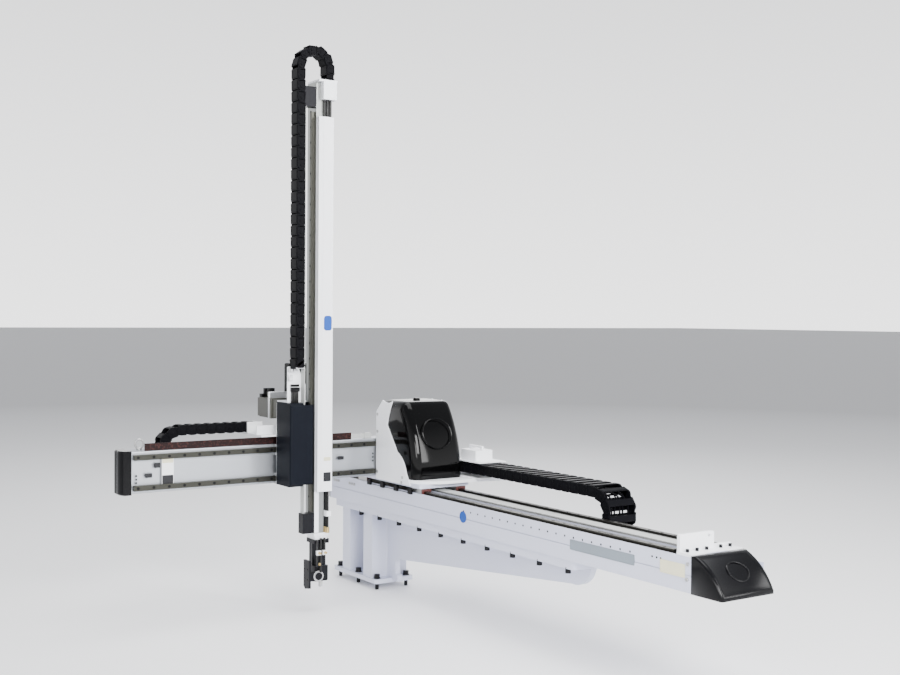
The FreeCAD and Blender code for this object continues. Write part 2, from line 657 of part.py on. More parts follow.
def guide_block(name, axis, along, across, seat, normal):
    """A guide block over its rail, with the two end seals, for rails along X, Y or Z."""
    body_start = "seal_thick"
    outer = ("block_length - 2 * seal_thick", "block_width", "block_rise - rail_height * 0.25")
    inner = ("block_length + 2", "rail_width + 2 * block_clear", "rail_height * 0.75 + block_clear")

    def lay(label, start, size, low):
        """One box of the block, turned to the rail's axis and to the side that the block faces."""
        length, width, height = size
        sides = {"along": (total(along, start), length), "across": (f"({across} - ({width}) / 2)", width)}
        if normal > 0:
            sides["up"] = (total(seat, low), height)
        else:
            sides["up"] = (f"({seat} - ({low}) - ({height}))", height)
        order = {"X": ("along", "across", "up"), "Y": ("up", "along", "across"), "Z": ("up", "across", "along")}[axis]
        spans = [sides[word] for word in order]
        return box(label, spans[0][0], spans[1][0], spans[2][0], spans[0][1], spans[1][1], spans[2][1])

    low = "rail_height * 0.25"
    body = less(name, lay(name + "_block", body_start, outer, low), [lay(name + "_way", "-1", inner, low)])
    seals = []
    for start in ("0", "block_length - seal_thick"):
        plate = ("seal_thick", "block_width - 2", "block_rise - rail_height * 0.25 - 2")
        seals.append(less(name + "_seal", lay(name + "_plate", start, plate, low),
                          [lay(name + "_gap", "-1", inner, low)]))
    return body, seals


# Guide blocks under the saddle
blocks = []
seals = []
for along in ("(saddle_start + block_inset)", "(saddle_end - block_length - block_inset)"):
    for side in ("-1", "1"):
        body, ends = guide_block("saddle_block", "X", along, f"({side} * rail_offset)", rail_seat, 1)
        blocks.append(body)
        seals += ends
keep(group("saddle_guide_blocks", blocks + seals), "saddle_guide_blocks")

# Traverse belt with its clamps, anchor brackets and buffers at both ends
belt_from = "(rail_start - 8 - clamp_length / 2)"
belt_to = minus(anchor_x, "clamp_length / 2")
keep(box("traverse_belt", belt_from, "-belt_width / 2", total(beam_top, "spine_rise"),
         minus(belt_to, belt_from), "belt_width", "belt_thick"), "traverse_belt")
clamps = []
for word, x in (("near", minus(belt_from, "clamp_length / 2")), ("far", minus(anchor_x, "clamp_length"))):
    body = box(f"clamp_{word}", x, "-belt_width / 2 - 6", total(beam_top, "spine_rise"),
               "clamp_length", "belt_width + 12", "belt_thick + 14")
    slot = box(f"clamp_slot_{word}", minus(x, "1"), "-belt_width / 2 - 0.2", total(beam_top, "spine_rise - 1"),
               "clamp_length + 2", "belt_width + 0.4", "belt_thick + 1.2")
    clamps.append(less(f"belt_clamp_{word}", body, [slot]))
for word, x, foot in (("front", anchor_x, anchor_x), ("rear", "(beam_start + 60)", "(beam_start + 14)")):
    bracket = Bodywork(f"belt_anchor_{word}", own=False)
    clamps.append(bracket.body)
    bracket.pad("YZ", x, "anchor_thick", [
        ("-anchor_width / 2 - 30", total(beam_top, "0")), ("anchor_width / 2 + 30", total(beam_top, "0")),
        ("anchor_width / 2 + 30", total(beam_top, "18")), ("anchor_width / 2 - 42", total(beam_top, "18")),
        ("anchor_width / 2 - 42", total(beam_top, "anchor_height")),
        ("-anchor_width / 2 - 30", total(beam_top, "anchor_height")),
    ])
    bracket.rounded("8", "X", lambda p: p.z > num(beam_top) + num("anchor_height") - 0.1)
    bracket.pad("XY", beam_top, "8", rect(foot, "-beam_width / 2 + 2", "anchor_foot + anchor_thick", "beam_width - 4"))
    bracket.pocket("XZ", "-spine_width / 2 - 1", "spine_width + 2",
                   rect(minus(foot, "1"), minus(beam_top, "1"), "anchor_foot + anchor_thick + 2", "spine_rise + 1.3"))
    bracket.pocket("YZ", minus(x, "1"), "anchor_thick + 2", ring("15", total(beam_top, "anchor_height - 13"), "5"))
keep(group("belt_anchors", clamps), "belt_anchors")
buffers = []
for side in ("-1", "1"):
    buffers.append(rod("buffer_far", "X", minus(anchor_x, "buffer_length"), f"{side} * 60",
                       total(beam_top, "13.5"), "buffer_radius * 0.5", "buffer_length"))
    buffers.append(rod("buffer_near", "X", "(beam_start + 60 + anchor_thick)", f"{side} * 60",
                       total(beam_top, "13.5"), "buffer_radius * 0.5", "buffer_length"))
keep(group("stop_buffers", buffers), "stop_buffers")

# Limit switches on the front lip
switches = []
for place in range(4):
    x = f"(switch_x + {place} * switch_pitch)"
    body = box("switch_body", x, "-beam_width / 2 - 10", minus(beam_top, "8"), "switch_size", "9.7", "switch_size - 2")
    nose = box("switch_nose", f"({x} + 4)", "-beam_width / 2 - 10", beam_top, "switch_size - 8", "switch_nose", "10")
    switches.append(joined("limit_switch", [body, nose]))


def hose(points, radius, bend):
    """A round hose along straight runs joined by arcs that meet them smoothly."""
    corners = [Vector(*(num(c) for c in point)) for point in points]
    bend = num(bend)
    edges = []
    at = corners[0]
    for before, corner, after in zip(corners, corners[1:], corners[2:]):
        back = (before - corner).normalize()
        ahead = (after - corner).normalize()
        turn = back.getAngle(ahead)
        cut = bend / math.tan(turn / 2)
        enter = corner + back * cut
        leave = corner + ahead * cut
        inner = (back + ahead).normalize()
        middle = corner + inner * (bend / math.sin(turn / 2) - bend)
        edges += [Part.LineSegment(at, enter).toShape(), Part.Arc(enter, middle, leave).toShape()]
        at = leave
    edges.append(Part.LineSegment(at, corners[-1]).toShape())
    path = Part.Wire(edges)
    start = Part.Wire(Part.makeCircle(num(radius), corners[0], corners[1] - corners[0]))
    return path.makePipeShell([start], True, True)


# Thin cable along the switches
wire_y = "(-beam_width / 2 - 3)"
wire = hose([("switch_x + switch_size", wire_y, minus(beam_top, "4")),
             ("switch_x + 3 * switch_pitch", wire_y, minus(beam_top, "4"))], "1.5", "6")
switch_run = shaped("switch_wire", [wire])
keep(group("limit_switches", switches + [switch_run]), "limit_switches")

# Chain tray behind the traverse beam
tray_back = total("wide_chain_side", "wide_chain_width", "3")
tray_floor = "(wide_chain_top - 2 * wide_chain_radius - wide_chain_height / 2 - chain_seat)"
tray = Bodywork("traverse_tray")
tray.pad("YZ", "traverse_tray_start", "traverse_tray_end - traverse_tray_start", [
    ("beam_width / 2", f"{tray_floor} - sheet_thick"), (tray_back, f"{tray_floor} - sheet_thick"),
    (tray_back, f"{tray_floor} + tray_side"), (f"{tray_back} - sheet_thick", f"{tray_floor} + tray_side"),
    (f"{tray_back} - sheet_thick", tray_floor), ("beam_width / 2", tray_floor),
])


# Cable chains: open box links whose side tongues pin into the next link

def chain_link(pitch, width, height):
    """A link along +X from its rear pin, with its width along Y and its height along Z."""
    wall = num("link_wall")
    clear = num("link_clear")
    tongue = height * 0.22
    rear = -num("link_heel")
    split = pitch / 2
    frame = Part.makeBox(split - rear, width, height, Vector(rear, -width / 2, -height / 2))
    hollow = Part.makeBox(split - rear + 2, width - 2 * wall, height - 2 * wall,
                          Vector(rear - 1, -width / 2 + wall, -height / 2 + wall))
    link = frame.cut(hollow)
    for side in (-1, 1):
        edge = side * (width / 2 - wall - clear)
        inner = edge - side * wall
        low = min(edge, inner)
        link = link.fuse(Part.makeBox(split + num("link_nose"), wall, 2 * tongue, Vector(split, low, -tongue)))
        outer = side * width / 2
        low = min(outer, inner)
        link = link.fuse(Part.makeBox(pitch * 0.14, abs(outer - inner), 2 * tongue,
                                      Vector(split - pitch * 0.07, low, -tongue)))
    return link.removeSplitter()


def chain_run(pins, across, width, height):
    """Links from pin to pin: the across direction is shared by the whole chain."""
    links = []
    for start, end in zip(pins, pins[1:]):
        along = end - start
        pitch = along.Length
        along.normalize()
        up = along.cross(across)
        turn = Matrix(along.x, across.x, up.x, start.x, along.y, across.y, up.y, start.y,
                      along.z, across.z, up.z, start.z, 0, 0, 0, 1)
        link = chain_link(pitch, width, height)
        link.Placement = Placement(turn)
        links.append(link)
    return links


def chain(prefix, centre, out, side, across, radius, pitch, width, height, counts):
    """Three sub-parts: the standing run, the half turn and the travelling run, ending at the loop's centre line.

    centre is the loop's middle, out points to the loop's crown, side from the standing to the travelling run.
    """
    standing, turning, travelling = counts
    foot = [centre - side * radius - out * (pitch * (standing - i)) for i in range(standing + 1)]
    bend = [centre + (out * math.sin(math.pi * i / turning) - side * math.cos(math.pi * i / turning)) * radius
            for i in range(turning + 1)]
    head = [centre + side * radius - out * (pitch * i) for i in range(travelling + 1)]
    for word, pins in (("fixed_run", foot), ("loop", bend), ("moving_run", head)):
        label = f"{prefix}_{word}"
        keep(shaped(label, chain_run(pins, across, width, height)), label)


chain("traverse_chain",
      Vector(num("wide_chain_end + wide_upper_links * wide_chain_pitch"),
             num("wide_chain_side + wide_chain_width / 2"), num("wide_chain_top - wide_chain_radius")),
      Vector(1, 0, 0), Vector(0, 0, 1), Vector(0, 1, 0), num("wide_chain_radius"), num("wide_chain_pitch"),
      num("wide_chain_width"), num("wide_chain_height"),
      (int(num("wide_lower_links")), 5, int(num("wide_upper_links"))))
chain("cross_chain",
      Vector(num("cross_chain_side + cross_chain_width / 2"),
             num("cross_chain_end - cross_upper_links * cross_chain_pitch"),
             num("cross_chain_top - cross_chain_radius")),
      Vector(0, -1, 0), Vector(0, 0, 1), Vector(1, 0, 0), num("cross_chain_radius"), num("cross_chain_pitch"),
      num("cross_chain_width"), num("cross_chain_height"),
      (int(num("cross_lower_links")), 6, int(num("cross_upper_links"))))
chain("lift_chain",
      Vector(num("lift_chain_side + lift_chain_width / 2"), num("lift_chain_y + lift_chain_radius"),
             num("lift_chain_foot + lift_left_links * lift_chain_pitch")),
      Vector(0, 0, 1), Vector(0, 1, 0), Vector(1, 0, 0), num("lift_chain_radius"), num("lift_chain_pitch"),
      num("lift_chain_width"), num("lift_chain_height"),
      (int(num("lift_left_links")), 5, int(num("lift_right_links"))))

# Saddle plate with the opening for the drive pulley
saddle = Bodywork("saddle_plate")
saddle.pad("XY", block_top, "saddle_thick",
           rect("saddle_start", "saddle_front", "saddle_end - saddle_start", "saddle_back - saddle_front"))
saddle.rounded("block_inset * 3", "Z", lambda p: True)
saddle.pocket("XY", minus(block_top, "1"), "saddle_thick + 2",
              rect("drive_x - drive_pulley_radius", "-belt_width / 2 - 8",
                   "2 * drive_pulley_radius", "belt_width + 16"))

# White side panels of the drive housing, with the swept front edge
panels = []
for y in (minus("saddle_front", "panel_thick"), "saddle_back"):
    panel = Bodywork("side_panel", own=False)
    panel.pad("XZ", y, "panel_thick", [
        ("housing_start", "panel_foot"),
        ("panel_crown + 140", "panel_foot"),
        ("panel_crown + 109", "panel_foot + 48", "120"),
        ("panel_crown + 38", "panel_foot + 126"),
        ("panel_crown - 42", "panel_foot + 229", "-300"),
        ("panel_crown", "housing_top - 1", "-90"),
        ("housing_start + housing_chamfer", "housing_top - 1"),
        ("housing_start", "housing_top - housing_chamfer"),
    ])
    panels.append(panel.body)
keep(group("side_panels", panels), "side_panels")

# High-gloss drive cover, open below
cover_y = "saddle_front"
cover_w = "(saddle_back - saddle_front)"
cover = Bodywork("drive_cover")


def cover_outline(gap):
    """The cover's side outline, drawn in by a gap."""
    return [
        (f"housing_start + 4 + {gap}", f"{skirt_top} - ({gap}) * 2"),
        (f"cover_front - 3 - {gap}", f"{skirt_top} - ({gap}) * 2", f"drive_bulge - {gap}"),
        (f"cover_front - 78 - {gap}", f"housing_top - 12 - {gap}", f"30 - {gap}"),
        (f"cover_front - 103 - {gap}", f"housing_top - {gap}"),
        (f"housing_start + housing_chamfer + {gap} / 2", f"housing_top - {gap}"),
        (f"housing_start + 4 + {gap}", f"housing_top - housing_chamfer - {gap} / 2"),
    ]


cover.pad("XZ", cover_y, cover_w, cover_outline("0"))
cover.rounded_by("cover_corner", lambda e: e.BoundBox.YLength < 1e-3 and e.CenterOfMass.x > num("cover_front - 60")
                 and e.BoundBox.ZLength > 100)
cover.pocket("XZ", f"{cover_y} + cover_wall", f"{cover_w} - 2 * cover_wall", cover_outline("cover_wall"))

# White skirt round the foot of the drive cover, with the chain wing at the back
skirt = Bodywork("saddle_skirt")
skirt.pad("XY", saddle_top, "skirt_thick", [
    ("housing_start + 4", "saddle_front"), ("cover_front - 20", "saddle_front", "130"),
    ("skirt_bulge + 30", "saddle_front + 110"), ("skirt_bulge + 30", "saddle_back"),
    ("support_end", "wing_back"), ("panel_crown + 142", "wing_back"), ("panel_crown + 142", "saddle_back"),
    ("housing_start + 4", "saddle_back"),
])
skirt.pocket("XY", minus(saddle_top, "1"), "skirt_thick + 2",
             rect("housing_start + 20", "saddle_front + 14", "cover_front - housing_start - 40", f"{cover_w} - 28"))

# Traverse drive: right-angle gearbox with the servo motor standing on it
drive_axis = total(belt_top, "roll_gap", "drive_pulley_radius")
gear_y = "(belt_width / 2 + 6)"
gear_box = box("gearbox_case", "drive_x - gearbox_size / 2", gear_y, saddle_top, "gearbox_size", "gearbox_size",
               "gearbox_height")
servo = box("servo_case", "drive_x - servo_size / 2", f"{gear_y} + gearbox_size / 2 - servo_size / 2",
            total(saddle_top, "gearbox_height"), "servo_size", "servo_size", "servo_length")
shaft_bore = rod("shaft_bore", "Y", "drive_x", f"{gear_y} - 1", drive_axis, "shaft_radius + running_fit", "30")
keep(less("traverse_drive", joined("traverse_drive_case", [gear_box, servo]), [shaft_bore]), "traverse_drive")
wheel = rod("pulley_wheel", "Y", "drive_x", "-belt_width / 2 - 2", drive_axis, "drive_pulley_radius", "belt_width + 4")
pulley_shaft = rod("pulley_shaft", "Y", "drive_x", "0", drive_axis, "shaft_radius", f"{gear_y} + 24")
keep(joined("traverse_pulley", [wheel, pulley_shaft]), "traverse_pulley")

# Chain support behind the housing and the junction box on it
support_y = "saddle_back + 8"
support_start = "(wide_chain_end - link_nose - bracket_thick * 1.5)"
support = Bodywork("chain_support")
low_plate = total(skirt_top, "0")
support_top = "(wide_chain_top + wide_chain_height / 2 + 4)"
support.pad("XZ", support_y, "wing_back - saddle_back - 10", [
    (support_start, low_plate), ("support_end", low_plate),
    ("support_end", total(low_plate, "bracket_thick")),
    (f"{support_start} + bracket_thick * 1.5", total(low_plate, "bracket_thick")),
    (f"{support_start} + bracket_thick * 1.5", support_top), ("support_end", support_top),
    ("support_end", total(support_top, "bracket_thick")), (support_start, total(support_top, "bracket_thick")),
])
junction_foot = total(support_top, "bracket_thick")
junction = Bodywork("junction_box")
junction.pad("XY", junction_foot, "junction_height", rect(f"{support_start} + 20", f"{support_y} + 20", "110", "85"))
junction.rounded("6", "Z", lambda p: True)
junction.pad("XZ", f"{support_y} + 56", "10", [
    (f"{support_start} + 30", total(junction_foot, "junction_height - 1")),
    (f"{support_start} + 42", total(junction_foot, "junction_height - 1")),
    (f"{support_start} + 42", total(junction_foot, "junction_height + 8")),
    (f"{support_start} + 108", total(junction_foot, "junction_height + 8")),
    (f"{support_start} + 108", total(junction_foot, "junction_height - 1")),
    (f"{support_start} + 120", total(junction_foot, "junction_height - 1")),
    (f"{support_start} + 120", total(junction_foot, "junction_height + 16")),
    (f"{support_start} + 30", total(junction_foot, "junction_height + 16")),
])

# Cross beam on the saddle, hollow, with rails on its front
cross = Bodywork("cross_beam")
cross.pad("XZ", "cross_start", "cross_inner - cross_start",
          rect(cross_back, saddle_top, "cross_depth", "cross_height"))
cross.rounded("block_inset", "Y", lambda p: True)
cross.pocket("XZ", "cross_start - 1", "cross_inner - cross_start + 2",
             rect(total(cross_back, "beam_wall"), total(saddle_top, "beam_wall"),
                  "cross_depth - 2 * beam_wall", "cross_height - 2 * beam_wall"))
cross_rails = []
for side in ("-1", "1"):
    level = total(cross_middle, f"{side} * cross_rail_offset")
    rail = Bodywork("cross_rail", own=False)
    rail.pad("XZ", "cross_start + 7", "cross_rail_inner - cross_start - 7",
             [(v, u) for u, v in rail_profile(level, "cross_front", 1)][::-1])
    cross_rails.append(rail.body)
keep(group("cross_rails", cross_rails), "cross_rails")

# Moulded cap on the cross beam's outer end, two bulging panels with a seam
end_cap = Bodywork("cross_end_cap")
cap_line = "(cross_start - cross_cap + 14)"
cap_mid = f"(({cross_back} + cross_front) / 2)"
end_cap.pad("XY", minus(saddle_top, "4"), "cross_height + 8", [
    (cross_back, "cross_start"), (cross_back, cap_line, "60"),
    (cap_mid, f"{cap_line} - 8", "60"), ("cross_front + 8", cap_line), ("cross_front + 8", "cross_start"),
])
end_cap.rounded_by("block_inset", lambda e: e.BoundBox.ZLength < 1e-3
                   and e.CenterOfMass.y < num("cross_start - cross_cap / 2"), "Chamfer")

# Lifting eye
eye_z = total(cross_top, "eye_radius + 2 * eye_bar")
eye_x = total(cross_back, "33")
corners = [(math.cos(math.pi * (side + 0.5) / 4), math.sin(math.pi * (side + 0.5) / 4)) for side in range(8)]
section = [Vector(num(f"{eye_x} + eye_bar * {u}"), num("eye_y"), num(f"{eye_z} + eye_radius + eye_bar * {v}"))
           for u, v in corners]
eye_ring = Part.Face(Part.makePolygon(section + section[:1])).revolve(
    Vector(num(eye_x), num("eye_y"), num(eye_z)), Vector(1, 0, 0), 360)
eye_foot = turned(eye_x, "eye_y", cross_top, "eye_bar * 3", "eye_bar * 1.6")
keep(shaped("lifting_eye", [eye_foot.fuse(eye_ring)]), "lifting_eye")

# Kick belt on edge with its end clamps, and the cover strip that hides it
kick_belt_x = "(kick_x + kick_pulley_radius + roll_gap)"
kick_belt_z = total(cross_top, "3")
kick_belt = [box("kick_belt_strap", kick_belt_x, "kick_belt_start", kick_belt_z, "belt_thick",
                 "kick_belt_end - kick_belt_start", "kick_belt_width")]
for word, y in (("outer", "kick_belt_start"), ("inner", "kick_belt_end - kick_clamp_length")):
    grip = box(f"kick_grip_{word}", minus(kick_belt_x, "8"), y, cross_top, "belt_thick + 10", "kick_clamp_length",
               "kick_belt_width + 6")
    slot = box(f"kick_slot_{word}", minus(kick_belt_x, "roll_gap / 2"), f"{y} - 1", minus(kick_belt_z, "roll_gap / 2"),
               "belt_thick + roll_gap", "kick_clamp_length + 2", "kick_belt_width + roll_gap")
    kick_belt.append(less(f"kick_clamp_{word}", grip, [slot]))
keep(group("kick_belt", kick_belt), "kick_belt")
strip = box("strip", "strip_x", "strip_start", cross_top, "bracket_thick", "strip_end - strip_start",
            "strip_height")
keep(strip, "cover_strip")

# Kick pulley on its shaft, under the deck
kick_low = total(cross_top, "2")
kick_wheel = rod("kick_wheel", "Z", "kick_x", "kick_y", kick_low, "kick_pulley_radius", "kick_belt_width + 2")
kick_shaft = rod("kick_shaft", "Z", "kick_x", "kick_y", kick_low, "shaft_radius",
                 minus("deck_level + deck_thick + 20", kick_low))
keep(joined("kick_pulley", [kick_wheel, kick_shaft]), "kick_pulley")

# Carriage plate on the cross beam's guide blocks
plate = Bodywork("carriage_plate")
plate.pad("YZ", carriage_back, "carriage_thick",
          rect("carriage_left", "carriage_foot", "carriage_right - carriage_left", "carriage_top - carriage_foot"))
plate.rounded("block_inset * 2", "X", lambda p: True)
blocks = []
for along in ("(carriage_left + block_inset)", "(carriage_right - block_length - block_inset)"):
    for side in ("-1", "1"):
        level = total(cross_middle, f"{side} * cross_rail_offset")
        body, ends = guide_block("cross_block", "Y", along, level, "cross_front", 1)
        blocks += [body] + ends
keep(group("cross_guide_blocks", blocks), "cross_guide_blocks")

# Kick drive: deck over the beam, gearbox and motor with its cover
deck = Bodywork("kick_deck")
deck.pad("XY", "deck_level", "deck_thick",
         rect("cross_chain_side - 5", "deck_start", f"{carriage_back} - cross_chain_side + 5",
              "deck_end - deck_start"))
deck.pocket("XY", "deck_level - 1", "deck_thick + 2", ring("kick_x", "kick_y", "shaft_radius + 1"))
deck.pad("YZ", "cross_front - 17", "bracket_thick",
         rect("deck_start", "deck_level - 1", "tower_size + block_inset * 2", "deck_thick * 7"))
deck_top = "(deck_level + deck_thick)"
deck.pad("XZ", "cross_chain_end + link_nose", "bracket_thick",
         rect("cross_chain_side", minus(deck_top, "1"), "cross_chain_width",
              f"cross_chain_top + cross_chain_height / 2 - {deck_top} + 1"))
kick_gear = box("kick_gear", "kick_x - tower_size / 2", "kick_y - tower_size / 2", deck_top,
                "tower_size", "tower_size", "kick_gearbox")
kick_motor = box("kick_servo", "kick_x - tower_size / 2 + 7", "kick_y - tower_size / 2 + 7",
                 total(deck_top, "kick_gearbox"), "tower_size - 14", "tower_size - 14",
                 f"tower_top - 30 - {deck_top} - kick_gearbox")
kick_bore = rod("kick_bore", "Z", "kick_x", "kick_y", minus(deck_top, "1"), "shaft_radius + running_fit", "26")
keep(less("kick_drive", joined("kick_drive_case", [kick_gear, kick_motor]), [kick_bore]), "kick_drive")
tower = Bodywork("kick_motor_cover")
tower_foot = total(deck_top, "kick_gearbox")
tower.pad("XY", tower_foot, f"tower_top - {tower_foot}",
          rect("kick_x - tower_size / 2", "kick_y - tower_size / 2", "tower_size", "tower_size"))
tower.rounded("8", "Z", lambda p: True)
tower.rounded("4", "X", lambda p: p.z > num("tower_top") - 1, "Chamfer")
tower.pocket("XY", minus(tower_foot, "1"), f"tower_top - {tower_foot} - cover_wall + 1",
             rect("kick_x - tower_size / 2 + cover_wall", "kick_y - tower_size / 2 + cover_wall",
                  "tower_size - 2 * cover_wall", "tower_size - 2 * cover_wall"))

# Lift drive: servo motor with flange and gearbox, lying across the beam
half_motor = "lift_motor_size / 2"
motor_x = f"({carriage_back} - lift_gearbox_length - lift_flange_thick - lift_motor_length - encoder_length)"


def square_block(name, x, length, size):
    """A square block on the lift drive's axis."""
    return box(name, x, f"lift_y - ({size}) / 2", f"lift_level - ({size}) / 2", length, size, size)


drive = joined("lift_drive_case", [
    square_block("encoder_cap", motor_x, "encoder_length", "lift_motor_size - 6"),
    square_block("motor_case", total(motor_x, "encoder_length"), "lift_motor_length", "lift_motor_size - 2"),
    square_block("motor_flange", total(motor_x, "encoder_length + lift_motor_length"), "lift_flange_thick",
                 "lift_motor_size"),
    square_block("lift_gear", f"({carriage_back} - lift_gearbox_length)", "lift_gearbox_length",
                 "lift_motor_size - 10"),
    box("motor_plug", total(motor_x, "encoder_length + 12"), "lift_y - 12", f"lift_level + {half_motor} - 2",
        "26", "24", "26"),
])
lift_bore = rod("lift_bore", "X", minus(carriage_back, "20"), "lift_y", "lift_level", "shaft_radius + running_fit",
                "21")
keep(less("lift_drive", drive, [lift_bore]), "lift_drive")
plate.pocket("YZ", minus(carriage_back, "1"), "carriage_thick + 2", ring("lift_y", "lift_level", "shaft_radius + 3"))
lift_wheel = rod("lift_wheel", "X", "lift_belt_x", "lift_y", "lift_level", "lift_pulley_radius",
                 "lift_belt_width")
lift_shaft = rod("lift_shaft", "X", minus(carriage_back, "18"), "lift_y", "lift_level", "shaft_radius",
                 f"lift_belt_x - {carriage_back} + 20")
keep(joined("lift_pulley", [lift_wheel, lift_shaft]), "lift_pulley")

# Carriage cover: a bevelled shell open behind, with slots for the belt and rail
case = Bodywork("carriage_cover")
case_back = "(carriage_front + roll_gap)"


def case_outline(gap):
    """The cover's side outline, drawn in by a gap."""
    return [
        (f"{case_back} - ({gap})", f"case_foot + {gap}"),
        (f"case_front - case_bevel - {gap} / 2", f"case_foot + {gap}"),
        (f"case_front - {gap}", f"case_foot + case_bevel + {gap} / 2"),
        (f"case_front - {gap}", f"case_top - case_bevel - {gap} / 2"),
        (f"case_front - case_bevel - {gap} / 2", f"case_top - {gap}"),
        (f"{case_back} - ({gap})", f"case_top - {gap}"),
    ]


case.pad("XZ", "case_left", "case_right - case_left", case_outline("0"))
case.rounded("case_corner", "Z", lambda p: p.x > num("case_front") - 1)
case.pocket("XZ", "case_left + cover_wall", "case_right - case_left - 2 * cover_wall", case_outline("cover_wall"))
slot_start = f"({lift_belt_face} - 4)"
case.pocket("XY", "case_foot - 1", "case_top - case_foot + 2",
            rect("lift_belt_x - 9", slot_start, "lift_belt_width + 12", f"case_right - {slot_start} + 1"))

# Arm guide: plate on the carriage and two blocks that hold the arm's rail
rail_face = "(arm_left - arm_rail_size)"
block_face = f"({rail_face} - arm_rail_size * 0.6)"
guide = Bodywork("arm_guide_plate")
guide.pad("XZ", f"{block_face} - arm_plate_thick", "arm_plate_thick",
          rect("carriage_front", "carriage_foot + 12", "lift_belt_x + lift_belt_width - carriage_front",
               "carriage_top - carriage_foot - 25"))
arm_blocks = []
for z in ("(carriage_foot + 22)", "(carriage_top - 22 - arm_block_length)"):
    body = box("arm_block", "arm_rail_x - arm_block_width / 2", block_face, z, "arm_block_width",
               "arm_block_depth", "arm_block_length")
    way = box("arm_block_way", "arm_rail_x - arm_rail_size / 2 - block_clear", f"{rail_face} - block_clear",
              f"{z} - 1", "arm_rail_size + 2 * block_clear", "arm_rail_size + 5", "arm_block_length + 2")
    arm_blocks.append(less("arm_guide_block", body, [way]))
keep(group("arm_guide_blocks", arm_blocks), "arm_guide_blocks")

# Bracket that carries the lift chain's standing end
stand = Bodywork("lift_chain_bracket")
stand_x = "(lift_chain_side - 2 - bracket_thick)"
stand.pad("XY", "carriage_top", "bracket_thick",
          rect(carriage_back, "lift_chain_y - 25", f"{stand_x} - {carriage_back} + 1", "78"))
stand.pad("YZ", stand_x, "bracket_thick", [
    ("lift_chain_y - 25", "carriage_top"), ("lift_chain_y + 53", "carriage_top"),
    ("lift_chain_y + 53", "carriage_top + 70"), ("lift_chain_y + 20", "lift_chain_foot - link_heel"),
    ("lift_chain_y - 25", "lift_chain_foot - link_heel"),
])
stand.pad("XY", "lift_chain_foot - link_heel - bracket_thick", "bracket_thick",
          rect(stand_x, "lift_chain_y - lift_chain_height / 2", "lift_chain_width + 4", "lift_chain_height"))

# Arm: hollow profile with its rail, belt and clamps
arm = Bodywork("arm_profile")
arm.pad("XY", "arm_foot", "arm_length", rect("arm_back", "arm_left", "arm_depth", "arm_width"))
arm.rounded("2", "Z", lambda p: True)
web = "(arm_depth / 2 - 1.5 * arm_wall)"
arm.pocket("XY", "arm_foot - 1", "arm_length + 2",
           rect("arm_back + arm_wall", "arm_left + arm_wall", web, "arm_width - 2 * arm_wall"),
           rect("arm_back + arm_depth / 2 + arm_wall / 2", "arm_left + arm_wall", web, "arm_width - 2 * arm_wall"))
keep(box("arm_rail", "arm_rail_x - arm_rail_size / 2", rail_face, "arm_rail_foot", "arm_rail_size", "arm_rail_size",
         "arm_rail_top - arm_rail_foot"), "arm_rail")
belt_y = lift_belt_face
keep(box("lift_belt", "lift_belt_x", belt_y, "clamp_foot + 6", "lift_belt_width", "lift_belt_thick",
         "clamp_top - clamp_foot - 12"), "lift_belt")
lift_clamps = []
for z in ("clamp_foot", "(clamp_top - clamp_height)"):
    body = box("lift_clamp", "lift_belt_x - 4", f"{belt_y} - 6", z, "lift_belt_width + 8",
               f"arm_left - {belt_y} + 6", "clamp_height")
    way = box("lift_clamp_way", "lift_belt_x - roll_gap", f"{belt_y} - 0.2", f"{z} - 1",
              "lift_belt_width + 2 * roll_gap", "lift_belt_thick + 0.4", "clamp_height + 2")
    lift_clamps.append(less("lift_belt_clamp", body, [way]))
keep(group("lift_belt_clamps", lift_clamps), "lift_belt_clamps")

# Head of the arm: top plate and the open box that takes the chain's cables
keep(box("arm_top_plate", "arm_back", "arm_left", arm_top, "duct_front - arm_back", "head_right - arm_left",
         "head_plate"), "arm_top_plate")
head = Bodywork("head_box")
head.pad("XY", "head_foot", f"{arm_top} - head_foot", [
    (f"{arm_front} + roll_gap", "duct_left"), ("duct_front", "duct_left"), ("duct_front", "head_right"),
    ("duct_back", "head_right"), ("duct_back", f"{arm_right} + roll_gap"),
    (f"{arm_front} + roll_gap", f"{arm_right} + roll_gap"),
])
head.rounded("4", "Z", lambda p: p.x > num("duct_front") - 1)
head.pocket("XY", "head_foot + sheet_thick", f"{arm_top} - head_foot", [
    (f"{arm_front} + 2 * sheet_thick", "duct_left + sheet_thick"),
    ("duct_front - sheet_thick", "duct_left + sheet_thick"),
    ("duct_front - sheet_thick", "head_right - sheet_thick"),
    ("duct_back + sheet_thick", "head_right - sheet_thick"),
    ("duct_back + sheet_thick", f"{arm_right} + 2 * sheet_thick"),
    (f"{arm_front} + 2 * sheet_thick", f"{arm_right} + 2 * sheet_thick"),
])

# Folded cable duct round the arm's corner
duct = Bodywork("cable_duct")
duct.pad("XY", "duct_foot", "duct_top - duct_foot", [
    (arm_front, "duct_left"), ("duct_front", "duct_left"), ("duct_front", "duct_right"),
    ("duct_back", "duct_right"), ("duct_back", arm_right),
    ("duct_back + sheet_thick", arm_right), ("duct_back + sheet_thick", "duct_right - sheet_thick"),
    ("duct_front - sheet_thick", "duct_right - sheet_thick"),
    ("duct_front - sheet_thick", "duct_left + sheet_thick"), (arm_front, "duct_left + sheet_thick"),
])

